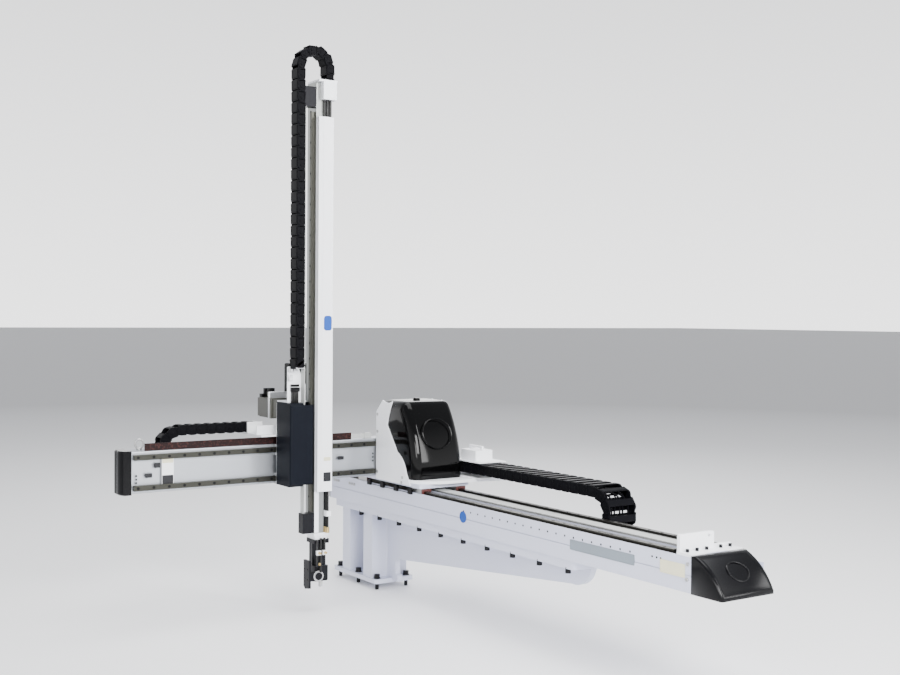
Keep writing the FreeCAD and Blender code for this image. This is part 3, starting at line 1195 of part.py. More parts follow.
# Foot of the arm: end plate, spacer, flange and the wrist unit
foot_left = "arm_left"
foot_right = "duct_right"
bottom = Bodywork("arm_bottom_plate")
bottom.pad("XY", "arm_foot - end_plate", "end_plate",
           rect("arm_back - 10", foot_left, "arm_depth + 10", f"{foot_right} - {foot_left}"))
bottom.pad("XY", "arm_foot - end_plate - spacer_thick", "spacer_thick",
           rect("wrist_back - 4", "arm_left + 6", "wrist_depth + 6", f"{foot_right} - arm_left - 12"))
wrist_top = "(arm_foot - end_plate - spacer_thick)"
wrist = Bodywork("wrist_body")
wrist.pad("XY", f"{wrist_top} - wrist_flange", "wrist_flange",
          rect("wrist_back - 6", "wrist_left - 4", "wrist_depth + 10", "wrist_width + 8"))
wrist.rounded("5", "Z", lambda p: True)
columns = [ring("wrist_back + wrist_depth / 2 + 6", f"wrist_left + {share} * wrist_width", "barrel_radius")
           for share in (0.27, 0.73)]
wrist.pad("XY", "wrist_foot + wrist_block - 1", f"{wrist_top} - wrist_flange - wrist_foot - wrist_block + 2", *columns)
wrist.pad("XY", "wrist_foot + wrist_block - 1", f"{wrist_top} - wrist_flange - wrist_foot - wrist_block + 2",
          rect("wrist_back", "wrist_left + 6", "wrist_depth / 2", "wrist_width - 12"))
wrist.pad("XY", "wrist_foot", "wrist_block", rect("wrist_back", "wrist_left", "wrist_depth", "wrist_width"))
wrist.rounded("6", "X", lambda p: p.z < num("wrist_foot") + 1)
wrist_face = "(wrist_back + wrist_depth)"
wrist.pad("YZ", minus(wrist_face, "1"), "lever_thick + 3", ring("hub_y", "hub_z", "hinge_radius"))

# Gripper plate with its hub and lever, swung about the wrist pin
gripper = Bodywork("gripper_plate")
lever_x = total(wrist_face, "roll_gap")
gripper.pad("YZ", lever_x, "lever_thick", [
    ("plate_left", "hub_z - 16"), ("hub_y", "hub_z - hub_radius", "hub_radius"),
    ("hub_y + hub_radius", "hub_z", "hub_radius"), ("hub_y", "hub_z + hub_radius"),
    ("plate_left", "hub_z + 16"),
])
gripper.pocket("YZ", minus(lever_x, "1"), "lever_thick + 2", ring("hub_y", "hub_z", "hinge_radius + running_fit"))
gripper.pad("XZ", "plate_left", "plate_thick", [
    (f"{lever_x} + lever_thick - plate_width", "hub_z - plate_down + 12"),
    (f"{lever_x} + lever_thick - plate_width + 12", "hub_z - plate_down"),
    (f"{lever_x} + lever_thick", "hub_z - plate_down + 6"),
    (f"{lever_x} + lever_thick", "hub_z + plate_up"),
    (f"{lever_x} + lever_thick - plate_width", "hub_z + plate_up"),
])
gripper.pocket("XZ", "plate_left - 1", "plate_thick + 2", *[
    ring(f"{lever_x} + lever_thick - plate_width / 2 + {u} * 11", f"hub_z + {v} * plate_hole_pitch / 2 + 8",
         "plate_hole") for u in (-1, 1) for v in (-1, 1)])

# Air hoses from the duct's foot down to brass fittings, held by one clamp
hoses = []
fittings = []
hose_y = f"({arm_right} + 11)"
clamp_z = "(arm_foot + 66)"
holes = []
for place in range(3):
    x = f"(duct_front - 13 - {place} * 13)"
    hoses.append(hose([(x, hose_y, "duct_foot + 20"), (x, hose_y, "arm_foot + 22")], "hose_radius", "hose_bend"))
    fittings.append(hexagon(x, hose_y, "arm_foot", "hose_radius * 1.7", "22"))
    holes.append(rod("clamp_hole", "Z", x, hose_y, minus(clamp_z, "1"), "hose_radius + roll_gap", "22"))
keep(shaped("arm_hoses", hoses), "arm_hoses")
clamp_body = box("clamp_body", "duct_front - 50", arm_right, clamp_z, "48", "20", "20")
keep(less("hose_clamp", clamp_body, holes), "hose_clamp")
keep(shaped("hose_fittings", fittings), "hose_fittings")

# Every object is sound before anything is written
doc.recompute()
faults = [thing.Label for thing in doc.Objects if {"Invalid", "Error"} & set(thing.State)]
for label, thing in made.items():
    shape = thing.Shape
    if shape.isNull() or not shape.isValid() or not shape.Solids:
        faults.append(label)
if faults:
    raise RuntimeError(f"unsound: {faults}")
os.makedirs("parts", exist_ok=True)
for label, thing in made.items():
    thing.Shape.exportStep(f"parts/{label}.step")
print(f"{len(made)} sub-parts, {sum(len(thing.Shape.Solids) for thing in made.values())} solids")
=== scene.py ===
# %% [markdown]
# A traverse take-out robot, dressed for a studio picture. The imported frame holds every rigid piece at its
# real size, so this lesson starts from it and adds finishes, small fasteners, cables and moulded covers.
# All coordinates are metres in the robot's own frame: +X along the traverse beam, -Y along the cross beam.

# %% The frame
import math
import bpy
from mathutils import Matrix, Vector


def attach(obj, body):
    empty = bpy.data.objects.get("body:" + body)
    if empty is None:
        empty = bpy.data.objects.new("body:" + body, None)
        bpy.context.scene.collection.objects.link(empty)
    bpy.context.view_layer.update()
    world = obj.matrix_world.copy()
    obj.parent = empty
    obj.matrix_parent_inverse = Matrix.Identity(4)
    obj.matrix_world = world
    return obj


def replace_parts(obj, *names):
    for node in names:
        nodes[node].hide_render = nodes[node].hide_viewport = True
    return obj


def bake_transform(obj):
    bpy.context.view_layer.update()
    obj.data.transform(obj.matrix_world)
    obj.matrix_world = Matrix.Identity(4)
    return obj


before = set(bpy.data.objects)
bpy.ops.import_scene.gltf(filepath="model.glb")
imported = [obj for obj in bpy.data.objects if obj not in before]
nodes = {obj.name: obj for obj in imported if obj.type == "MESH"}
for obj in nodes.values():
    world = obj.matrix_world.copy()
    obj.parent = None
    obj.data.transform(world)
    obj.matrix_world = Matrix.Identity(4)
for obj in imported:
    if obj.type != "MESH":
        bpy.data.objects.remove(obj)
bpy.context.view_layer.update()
MM = 0.001

# %% [markdown]
# The camera stands where the photographer stood. Its place and turn were worked out from the beam's and the
# arm's edges, so it is given as a place, an azimuth, a small tilt down and a trace of roll.

# %% The camera
CAMERA_PLACE = Vector((4.586, -2.669, 1.132))
CAMERA_AZIMUTH = math.radians(56.217)
CAMERA_TILT = math.radians(0.988)
CAMERA_ROLL = math.radians(0.414)


def add_camera():
    ahead = Vector((-math.sin(CAMERA_AZIMUTH) * math.cos(CAMERA_TILT),
                    math.cos(CAMERA_AZIMUTH) * math.cos(CAMERA_TILT), -math.sin(CAMERA_TILT)))
    right = Vector((math.cos(CAMERA_AZIMUTH), math.sin(CAMERA_AZIMUTH), 0))
    above = right.cross(ahead)
    turned_right = right * math.cos(CAMERA_ROLL) + above * math.sin(CAMERA_ROLL)
    turned_above = above * math.cos(CAMERA_ROLL) - right * math.sin(CAMERA_ROLL)
    axes = Matrix((turned_right, turned_above, -ahead)).transposed().to_4x4()
    data = bpy.data.cameras.new("studio_camera")
    data.lens = 48.41
    data.sensor_width = 36
    camera = bpy.data.objects.new("studio_camera", data)
    camera.matrix_world = Matrix.Translation(CAMERA_PLACE) @ axes
    bpy.context.scene.collection.objects.link(camera)
    bpy.context.scene.camera = camera
    return camera


camera = add_camera()
print("camera at", tuple(round(v, 3) for v in camera.location))

# %% [markdown]
# A catalogue picture of a machine wants broad soft light and a few bright strips that polished covers can
# mirror. A pale floor takes the shadow, and a plain pale sky fills what the lamps leave dark.

# %% Floor and lamps
FLOOR_LEVEL = -0.0285


def add_lamp(name, place, target, size, power):
    data = bpy.data.lights.new(name, "AREA")
    data.shape = "RECTANGLE"
    data.size, data.size_y = size
    data.energy = power
    lamp = bpy.data.objects.new(name, data)
    lamp.location = place
    lamp.rotation_euler = (Vector(target) - Vector(place)).to_track_quat("-Z", "Y").to_euler()
    bpy.context.scene.collection.objects.link(lamp)
    return lamp


bpy.ops.mesh.primitive_plane_add(size=200, location=(0, 0, FLOOR_LEVEL))
floor = bpy.context.object
floor.name = "studio_floor"
add_lamp("key_lamp", (5.2, -0.9, 2.6), (0.5, -0.2, 0.4), (2.2, 1.6), 330)
add_lamp("end_lamp", (3.0, -1.8, 1.4), (1.9, 0, 0.4), (0.9, 0.7), 30)
add_lamp("side_strip", (4.5, 1.8, 2.4), (0.6, 0.0, 0.5), (0.5, 3.0), 90)
add_lamp("top_lamp", (0.8, 0.2, 4.6), (0.8, 0.0, 0.3), (4.0, 3.0), 240)
add_lamp("back_lamp", (-3.5, 3.0, 3.2), (0.3, -0.2, 0.8), (2.0, 2.0), 70)

# %% [markdown]
# Finishes are node materials. To write their arithmetic as plain expressions, a small class wraps a socket
# and gives it Python's operators. Every other node comes from one method that takes its settings and inputs.

# %% Shader arithmetic


class Wire:
    """A number in a material's node tree, with Python's operators."""

    def __init__(self, tree, socket):
        self.tree = tree
        self.socket = socket

    def combine(self, operation, first, second):
        node = self.tree.nodes.new("ShaderNodeMath")
        node.operation = operation
        for slot, value in zip(node.inputs, (first, second)):
            if isinstance(value, Wire):
                self.tree.links.new(value.socket, slot)
            else:
                slot.default_value = value
        return Wire(self.tree, node.outputs[0])

    def __add__(self, other):
        return self.combine("ADD", self, other)

    __radd__ = __add__

    def __sub__(self, other):
        return self.combine("SUBTRACT", self, other)

    def __rsub__(self, other):
        return self.combine("SUBTRACT", other, self)

    def __mul__(self, other):
        return self.combine("MULTIPLY", self, other)

    __rmul__ = __mul__

    def __pow__(self, other):
        return self.combine("POWER", self, other)

    def over(self, level):
        """1 where the number passes a level, else 0."""
        return self.combine("GREATER_THAN", self, level)


class Finish:
    """A material under construction: its tree, its shader and the calls that add nodes."""

    def __init__(self, name, colour, roughness, metallic=0.0, **constants):
        self.material = bpy.data.materials.new(name)
        self.material.use_nodes = True
        self.tree = self.material.node_tree
        self.shader = self.tree.nodes["Principled BSDF"]
        self.colour = (*colour, 1)
        self.put("Base Color", self.colour)
        self.put("Roughness", roughness)
        self.put("Metallic", metallic)
        for name, value in constants.items():
            self.put(name.replace("_", " "), value)

    def put(self, socket, value):
        """Sets or links one of the shader's sockets."""
        if isinstance(value, Wire):
            self.tree.links.new(value.socket, self.shader.inputs[socket])
        else:
            self.shader.inputs[socket].default_value = value

    def node(self, kind, settings=None, **inputs):
        made = self.tree.nodes.new(kind)
        for key, value in (settings or {}).items():
            setattr(made, key, value)
        for key, value in inputs.items():
            socket = made.inputs[key.replace("_", " ")]
            if isinstance(value, Wire):
                self.tree.links.new(value.socket, socket)
            else:
                socket.default_value = value
        return made

    def place(self, scale=(1, 1, 1)):
        """The surface point in the robot's frame, stretched by a scale."""
        spot = self.node("ShaderNodeTexCoord")
        mapping = self.node("ShaderNodeMapping", Vector=Wire(self.tree, spot.outputs["Object"]), Scale=scale)
        return Wire(self.tree, mapping.outputs["Vector"])

    def noise(self, grain, detail=2.0, scale=(1, 1, 1)):
        """Cloudy variation between 0 and 1; the grain is its size in metres."""
        made = self.node("ShaderNodeTexNoise", Vector=self.place(scale), Scale=1 / grain, Detail=detail)
        return Wire(self.tree, made.outputs["Fac"])

    def tint(self, amount, other):
        """Mixes the base colour towards another by an amount."""
        mix = self.node("ShaderNodeMix", {"data_type": "RGBA"})
        self.tree.links.new(amount.socket, mix.inputs["Factor"])
        mix.inputs[6].default_value = self.colour
        mix.inputs[7].default_value = (*other, 1)
        self.put("Base Color", Wire(self.tree, mix.outputs[2]))

    def bump(self, height, strength, depth):
        made = self.node("ShaderNodeBump", Height=height, Strength=strength, Distance=depth)
        rounded = self.node("ShaderNodeBevel", {"samples": 4}, Radius=0.0012)
        self.tree.links.new(rounded.outputs["Normal"], made.inputs["Normal"])
        self.put("Normal", Wire(self.tree, made.outputs["Normal"]))


finishes = {}
print("shader helpers ready")

# %% [markdown]
# Powder-coated castings look even from afar, but close up the coat has a fine orange peel and handled areas
# are a little glossier. Low noise in the roughness and a shallow bump give both.

# %% Painted metal


def paint(name, colour, roughness=0.36, peel=0.05, dust=(0.62, 0.62, 0.64)):
    made = Finish(name, colour, roughness, Coat_Weight=0.15, Coat_Roughness=0.2)
    made.put("Roughness", made.noise(0.09, 3.0) * 0.16 + (roughness - 0.08))
    made.tint(made.noise(0.35, 4.0) ** 3.0 * 0.35, dust)
    made.bump(made.noise(0.0016, 1.0), peel, 0.0003)
    finishes[name] = made.material


# Painted shade: the white paint below, darkened to a lavender grey as the machine's shaded sides look. It goes
# on the pedestal, traverse beam, tray and saddle plate.
paint("lavender_paint", (0.54, 0.56, 0.68))
paint("white_paint", (0.86, 0.87, 0.90), dust=(0.78, 0.79, 0.82))
paint("motor_olive", (0.045, 0.045, 0.036), 0.42, 0.12, (0.03, 0.03, 0.025))
print(sorted(finishes))

# %% [markdown]
# Brushed and ground metal is a mirror with fine scratches that all run one way. Noise stretched a hundred
# times along the part gives streaks in roughness and in the bump.

# %% Bare metal


def brushed(name, colour, roughness, along, streak=0.0012, strength=0.12):
    made = Finish(name, colour, roughness, 1.0)
    scale = tuple(0.02 if axis == along else 1.0 for axis in "XYZ")
    lines = made.noise(streak, 3.0, scale)
    made.put("Roughness", lines * 0.22 + (roughness - 0.1))
    made.tint(made.noise(0.2, 3.0, scale) * 0.5, tuple(c * 0.82 for c in colour))
    made.bump(lines, strength, 0.0002)
    finishes[name] = made.material


brushed("cross_aluminium", (0.45, 0.47, 0.5), 0.42, "Y")
brushed("arm_aluminium", (0.3, 0.31, 0.3), 0.38, "Z")
brushed("plate_aluminium", (0.72, 0.73, 0.75), 0.4, "Z")
brushed("rail_x_steel", (0.07, 0.066, 0.055), 0.3, "X")
brushed("rail_y_steel", (0.055, 0.055, 0.047), 0.34, "Y")
brushed("rail_z_steel", (0.07, 0.07, 0.06), 0.34, "Z")
brushed("zinc_steel", (0.5, 0.5, 0.5), 0.38, "Z", 0.003)
brushed("dark_steel", (0.02, 0.02, 0.022), 0.42, "Z", 0.003)
brushed("brass_fitting", (0.62, 0.46, 0.2), 0.32, "Z", 0.003)
print(len(finishes), "finishes")

# %% [markdown]
# Mouldings come in three kinds here: the deep gloss of the drive cover, the satin of the carriage cover and
# the dull, slightly grained nylon of caps and cable chains.

# %% Mouldings and rubber


def moulding(name, colour, roughness, grain, strength, spread=0.1, shine=0.5):
    made = Finish(name, colour, roughness, Specular_IOR_Level=shine)
    made.put("Roughness", made.noise(0.06, 3.0) * spread + (roughness - spread / 2))
    made.tint(made.noise(0.15, 3.0) * 0.5, tuple(c * 1.5 + 0.002 for c in colour))
    made.bump(made.noise(grain, 2.0), strength, 0.0003)
    finishes[name] = made.material


moulding("gloss_black", (0.0005, 0.0005, 0.0006), 0.07, 0.12, 0.01, spread=0.04, shine=0.16)
moulding("satin_navy", (0.003, 0.004, 0.007), 0.42, 0.0012, 0.08, shine=0.07)
moulding("cap_black", (0.002, 0.002, 0.0025), 0.42, 0.0011, 0.14, shine=0.13)
moulding("chain_black", (0.002, 0.002, 0.003), 0.42, 0.0014, 0.08, shine=0.05)
moulding("hose_black", (0.003, 0.003, 0.003), 0.4, 0.002, 0.06, shine=0.35)
# Painted shade: a near-black finish for strips laid on the beam's top, where the gaps beside the rails and belt
# fall into shade.
moulding("painted_shade_dark", (0.012, 0.011, 0.009), 0.3, 0.004, 0.1, shine=0.4)
moulding("seal_red", (0.06, 0.012, 0.01), 0.5, 0.002, 0.06)
moulding("belt_grey", (0.36, 0.37, 0.36), 0.5, 0.0015, 0.1)
moulding("buffer_rubber", (0.02, 0.02, 0.02), 0.7, 0.002, 0.15)
moulding("cap_gloss", (0.0015, 0.0015, 0.002), 0.2, 0.0011, 0.05, shine=0.16)
moulding("white_plastic", (0.75, 0.76, 0.77), 0.4, 0.002, 0.05)
moulding("plate_grey", (0.16, 0.19, 0.22), 0.4, 0.004, 0.02)
moulding("plate_pale", (0.6, 0.57, 0.4), 0.45, 0.004, 0.02)
moulding("plate_dark", (0.008, 0.008, 0.01), 0.5, 0.004, 0.02, shine=0.3)
moulding("plate_blue", (0.003, 0.05, 0.27), 0.4, 0.004, 0.02, shine=0.3)
print(len(finishes), "finishes")

# %% [markdown]
# The strip that hides the kick belt is hammered dark maroon paint. Fine noise, cut to hard spots, makes its
# speckle, and the same noise raises it a little.

# %% Speckled strip
speckled = Finish("maroon_strip", (0.012, 0.005, 0.005), 0.5, Specular_IOR_Level=0.12)
speckled.tint(speckled.noise(0.006, 2.0).over(0.58) * 0.8, (0.05, 0.018, 0.016))
speckled.bump(speckled.noise(0.006, 2.0), 0.25, 0.0005)
finishes["maroon_strip"] = speckled.material
print(len(finishes), "finishes")

# %% [markdown]
# The studio's floor carries a painted pool of light: pale near the machine, falling off to grey in the
# distance.
# The sky behind glows from its foot. A round gradient painted on the floor and a ramp over the sky's height
# give that.

# %% Painted light pool on the floor, and sky
ground = Finish("studio_floor", (0.44, 0.44, 0.45), 0.6)
FADE_SCALE = 0.09
# Painted light: a round pale pool on the floor about the machine, fading to grey with distance.
painted_light_pool = ground.node("ShaderNodeTexGradient", {"gradient_type": "SPHERICAL"},
                   Vector=ground.place((FADE_SCALE,) * 3))
ground.tint(Wire(ground.tree, painted_light_pool.outputs["Fac"]) ** 0.8, (0.95, 0.95, 0.96))
finishes["studio_floor"] = ground.material

world = bpy.data.worlds.new("studio_sky")
world.use_nodes = True
sky = world.node_tree
direction = sky.nodes.new("ShaderNodeTexCoord")
height = sky.nodes.new("ShaderNodeSeparateXYZ")
ramp = sky.nodes.new("ShaderNodeValToRGB")
ramp.color_ramp.elements[0].color = (1.4, 1.4, 1.41, 1)
ramp.color_ramp.elements[1].color = (0.36, 0.37, 0.39, 1)
ramp.color_ramp.elements[1].position = 0.55
sky.links.new(direction.outputs["Generated"], height.inputs[0])
sky.links.new(height.outputs["Z"], ramp.inputs["Fac"])
sky.links.new(ramp.outputs["Color"], sky.nodes["Background"].inputs["Color"])
sky.nodes["Background"].inputs["Strength"].default_value = 2.0
bpy.context.scene.world = world
print("sky and floor ready")

# %% [markdown]
# Each piece of the frame now gets its finish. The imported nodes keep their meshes, and only the material in
# their first slot changes.

# %% Finishes on the frame
NODE_FINISH = {
    # The pedestal, beam, tray and saddle plate wear the white paint darkened into painted shade.
    "lavender_paint": ("pedestal", "traverse_beam", "traverse_tray", "saddle_plate"),
    "white_paint": ("side_panels", "saddle_skirt", "chain_support", "kick_deck", "lift_chain_bracket",
                    "cable_duct", "head_box", "arm_top_plate", "belt_anchors", "hose_clamp",
                    "arm_bottom_plate", "junction_box"),
    "zinc_steel": ("lifting_eye", "saddle_guide_blocks", "cross_guide_blocks", "arm_guide_blocks"),
    "plate_aluminium": ("carriage_plate", "arm_guide_plate", "traverse_pulley", "lift_pulley",
                        "kick_pulley"),
    "cross_aluminium": ("cross_beam",),
    "arm_aluminium": ("arm_profile",),
    "rail_x_steel": ("traverse_rails",),
    "rail_y_steel": ("cross_rails",),
    "rail_z_steel": ("arm_rail",),
    "cap_black": ("end_cap_front", "end_cover_rear", "limit_switches", "kick_motor_cover"),
    "cap_gloss": ("cross_end_cap",),
    "chain_black": ("traverse_chain_fixed_run", "traverse_chain_loop", "traverse_chain_moving_run",
                    "cross_chain_fixed_run", "cross_chain_loop", "cross_chain_moving_run",
                    "lift_chain_fixed_run", "lift_chain_loop", "lift_chain_moving_run"),
    "satin_navy": ("carriage_cover",),
    "gloss_black": ("drive_cover",),
    "motor_olive": ("traverse_drive", "kick_drive", "lift_drive"),
    "belt_grey": ("traverse_belt", "lift_belt", "kick_belt"),
    "buffer_rubber": ("stop_buffers",),
    "maroon_strip": ("cover_strip",),
    "brass_fitting": ("hose_fittings",),
    "hose_black": ("arm_hoses",),
    "dark_steel": ("gripper_plate", "wrist_body", "frame_bolts", "lift_belt_clamps"),
}


def dress(thing, finish):
    """Gives an object one finish in its first material slot."""
    if thing.material_slots:
        for place in thing.material_slots:
            place.material = finishes[finish]
    else:
        thing.data.materials.append(finishes[finish])


for finish, names in NODE_FINISH.items():
    for name in names:
        dress(nodes[name], finish)
dress(floor, "studio_floor")
bare = set(nodes) - {name for names in NODE_FINISH.values() for name in names}
print("nodes without a finish", bare)

# %% [markdown]
# The small pieces are modelled as by hand: a primitive is added at its place, faces or corners are chosen by
# where they lie, and edit-mode operators shape them. These helpers choose, inset, round and repeat. Sizes in
# them are millimetres, because that is how a machine is drawn.

# %% Modelling helpers
SMOOTH_ANGLE = math.radians(35)


def clear_choice():
    if bpy.context.object and bpy.context.object.mode != "OBJECT":
        bpy.ops.object.mode_set(mode="OBJECT")
    bpy.ops.object.select_all(action="DESELECT")


def take(thing):
    """Makes one object the chosen and active one."""
    clear_choice()
    thing.select_set(True)
    bpy.context.view_layer.objects.active = thing
    return thing


def named(name):
    """Names the primitive just added and puts its place in its mesh."""
    made = bpy.context.object
    made.name = name
    bpy.ops.object.transform_apply(location=True, rotation=True, scale=True)
    return made


def block(name, low, high):
    """A box between two corners."""
    clear_choice()
    bpy.ops.mesh.primitive_cube_add(size=1, location=[(a + b) / 2 * MM for a, b in zip(low, high)],
                                    scale=[(b - a) * MM for a, b in zip(low, high)])
    return named(name)


TURNS = {"X": (0, math.pi / 2, 0), "Y": (-math.pi / 2, 0, 0), "Z": (0, 0, 0)}


def round_bar(name, start, axis, radius, length, sides=24):
    """A round bar from a start point along an axis."""
    clear_choice()
    middle = Vector(start) + Vector(["XYZ"[i] == axis for i in range(3)]) * (length / 2)
    bpy.ops.mesh.primitive_cylinder_add(vertices=sides, radius=radius * MM, depth=abs(length) * MM,
                                        location=middle * MM, rotation=TURNS[axis])
    return named(name)


def pick(thing, test, kind="FACE"):
    """Opens a mesh for editing with only the faces, edges or corners that pass a test on their place."""
    take(thing)
    bpy.ops.object.mode_set(mode="EDIT")
    bpy.ops.mesh.select_mode(type=kind)
    bpy.ops.mesh.select_all(action="DESELECT")
    bpy.ops.object.mode_set(mode="OBJECT")
    mesh = thing.data
    if kind == "FACE":
        for face in mesh.polygons:
            face.select = test(face.center / MM, face.normal)
    elif kind == "EDGE":
        for edge in mesh.edges:
            a, b = (mesh.vertices[i].co for i in edge.vertices)
            edge.select = test((a + b) / 2 / MM, (b - a).normalized())
    else:
        for corner in mesh.vertices:
            corner.select = test(corner.co / MM)
    bpy.ops.object.mode_set(mode="EDIT")


def panel(thing, test, margin, depth):
    """Insets the chosen faces as one region, then sinks or raises what is inside."""
    pick(thing, test)
    bpy.ops.mesh.inset(thickness=margin * MM, use_even_offset=True)
    bpy.ops.mesh.inset(thickness=abs(depth) * 0.3 * MM, depth=-depth * MM, use_even_offset=True)
    clear_choice()


def round_edges(thing, test, radius, steps):
    pick(thing, test, "EDGE")
    bpy.ops.mesh.bevel(offset=radius * MM, segments=steps, affect="EDGES")
    clear_choice()


def outline(name, points):
    """A flat face drawn as by hand: a corner is extruded from point to point, and the loop is filled."""
    clear_choice()
    places = [Vector(p) * MM for p in points]
    bpy.ops.mesh.primitive_plane_add(size=0.001, location=places[0])
    made = named(name)
    bpy.ops.object.mode_set(mode="EDIT")
    bpy.ops.mesh.select_mode(type="VERT")
    bpy.ops.mesh.select_all(action="SELECT")
    bpy.ops.mesh.merge(type="CENTER")
    for before, after in zip(places, places[1:]):
        bpy.ops.mesh.extrude_vertices_move(TRANSFORM_OT_translate={"value": after - before})
    bpy.ops.mesh.select_all(action="SELECT")
    bpy.ops.mesh.edge_face_add()
    return made


def slab(name, points, push):
    """An outline given a thickness."""
    made = outline(name, points)
    bpy.ops.mesh.extrude_region_move(TRANSFORM_OT_translate={"value": Vector(push) * MM})
    bpy.ops.mesh.select_all(action="SELECT")
    bpy.ops.mesh.normals_make_consistent(inside=False)
    clear_choice()
    return made


def bow(start, end, sag, steps):
    """Points of a shallow arc between two points, bulging to the left of the way."""
    start, end = Vector(start), Vector(end)
    chord = end - start
    left = Vector((-chord.z, 0, chord.x)).normalized()
    return [start + chord * t + left * sag * 4 * t * (1 - t) for t in (i / steps for i in range(steps + 1))]


def placed(first, name, matrices):
    """A piece copied to each place, every copy with its own mesh, and joined into one."""
    copies = []
    for matrix in matrices:
        copy = first.copy()
        copy.data = first.data.copy()
        copy.data.transform(matrix)
        bpy.context.scene.collection.objects.link(copy)
        copies.append(copy)
    clear_choice()
    bpy.data.objects.remove(first)
    for copy in copies:
        copy.select_set(True)
    bpy.context.view_layer.objects.active = copies[0]
    if len(copies) > 1:
        bpy.ops.object.join()
    copies[0].name = name
    return copies[0]


def row(first, name, offsets):
    return placed(first, name, [Matrix.Translation(Vector(offset) * MM) for offset in offsets])


def soften(thing, width, steps=2):
    """Breaks the sharp edges, as a real mould or file does."""
    take(thing)
    edges = thing.modifiers.new("edges", "BEVEL")
    edges.width = width * MM
    edges.segments = steps
    edges.limit_method = "ANGLE"
    edges.angle_limit = SMOOTH_ANGLE
    edges.use_clamp_overlap = True
    bpy.ops.object.modifier_apply(modifier="edges")
    return thing


def settle(thing, finish, body, width=0.6):
    """The last touch: edges, smooth shading, finish and the body that carries the piece."""
    if width:
        soften(thing, width)
    take(thing)
    bpy.ops.object.shade_smooth_by_angle(angle=SMOOTH_ANGLE)
    dress(thing, finish)
    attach(thing, body)
    return thing


print("modelling helpers ready")

# %% [markdown]
# A cable chain's link is two stepped side plates joined by two bars. The wide rear half of a plate laps over
# the tongue of the link before it, and a pin lets the two turn, so the chain bends only one way. A plate
# starts as a round bar across the chain: its front half is moved forward, which leaves a rounded end.

# %% One chain link
LINK_WALL = 3
LINK_HEEL = 4
FLAT_SHARE = 0.15


def side_plate(rear, front, y, thick, radius, round_rear=True, round_front=True):
    """A plate with rounded ends about two pins, or flat where a link meets its bracket."""
    clear_choice()
    bpy.ops.mesh.primitive_cylinder_add(vertices=16, radius=radius * MM, depth=thick * MM,
                                        location=(rear * MM, y * MM, 0),
                                        rotation=(math.pi / 2, math.pi / 16, 0))
    plate = named("plate")
    for ahead, rounded in ((1, round_front), (-1, round_rear)):
        pick(plate, lambda p: (p.x - rear) * ahead > 0, "VERT")
        if not rounded:
            bpy.ops.transform.resize(value=(FLAT_SHARE, 1, 1), center_override=(rear * MM, 0, 0))
        if ahead > 0:
            bpy.ops.transform.translate(value=((front - rear) * MM, 0, 0))
        elif not rounded:
            bpy.ops.transform.translate(value=(-LINK_HEEL * MM, 0, 0))
    clear_choice()
    return plate


def chain_link(pitch, width, height, strands, cover=0, first=False, last=False):
    """A link along +X from its rear pin, with the cables that it carries; a cover makes its bars longer."""
    wall = LINK_WALL
    radius = height / 2 * 0.97
    parts = []
    for side in (-1, 1):
        outer = side * (width - wall) / 2
        inner = side * (width - 3 * wall - 0.8) / 2
        plate = side_plate(0, pitch - radius - 0.8, outer, wall, radius, not first, False)
        panel(plate, lambda p, n: n.y * side > 0.9, 2.5 + cover / 4, 0.6 + cover / 8)
        parts.append(plate)
        reach = pitch + 5 if last else pitch
        tongue = side_plate(pitch * 0.4, reach, inner, wall, radius * 0.9, True, not last)
        parts.append(tongue)
        head = round_bar("pin", (0, outer - side * 1.5, 0), "Y", radius * 0.3, side * 3.4, 12)
        parts.append(head)
    for level in (-1, 1):
        low = level * height / 2 - (wall if level > 0 else 0)
        bar = block("bar", (-pitch * 0.08 - cover, wall - width / 2, low),
                    (pitch * 0.46 + cover, width / 2 - wall, low + wall))
        panel(bar, lambda p, n: n.z * level > 0.9, 4, -0.8)
        parts.append(bar)
    for strand in range(strands):
        y = (strand + 0.5 - strands / 2) * (width - 8 * wall) / strands
        lift = (strand * 3 % 5 - 2) * height * 0.06
        parts.append(round_bar("strand", (0, y, lift), "X", (width - 8 * wall) / strands * 0.16, pitch, 8))
    clear_choice()
    for part in parts:
        part.select_set(True)
    bpy.context.view_layer.objects.active = parts[0]
    bpy.ops.object.join()
    return soften(parts[0], 0.5, 1)


trial = chain_link(48, 125, 42, 5)
print("faces of a wide link", len(trial.data.polygons))
bpy.data.objects.remove(trial)

# %% [markdown]
# A chain lies in three stretches: a standing run, a half turn and a travelling run.

# %% Laying the chains
FAR_OFF = 200


def pin_turn(start, end, across, pitch):
    """The matrix that lays a link from one pin to the next."""
    along = end - start
    stretch = along.length / (pitch * MM)
    along.normalize()
    up = along.cross(across)
    turn = Matrix((along * stretch, across, up)).transposed().to_4x4()
    return Matrix.Translation(start) @ turn


def lay_run(name, pins, across, sizes, ends):
    """Links from pin to pin, joined into one piece."""
    pitch = sizes[0]
    turns = [pin_turn(a, b, across, pitch) for a, b in zip(pins, pins[1:])]
    middle = turns[1:] if ends[0] else turns[:]
    pieces = []
    if ends[0]:
        pieces.append(placed(chain_link(*sizes, first=True), name, turns[:1]))
    if ends[1]:
        middle = middle[:-1]
        pieces.append(placed(chain_link(*sizes, last=True), name, turns[-1:]))
    if middle:
        pieces.append(placed(chain_link(*sizes), name, middle))
    clear_choice()
    for piece in pieces:
        piece.select_set(True)
    bpy.context.view_layer.objects.active = pieces[0]
    if len(pieces) > 1:
        bpy.ops.object.join()
    pieces[0].name = name
    return pieces[0]


def shade_chain(piece, node, low_body, high_body, start, end):
    take(piece)
    bpy.ops.object.shade_smooth_by_angle(angle=SMOOTH_ANGLE)
    dress(piece, "chain_black")
    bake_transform(piece)
    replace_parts(piece, node)
    print(piece.name, len(piece.data.polygons), "faces")


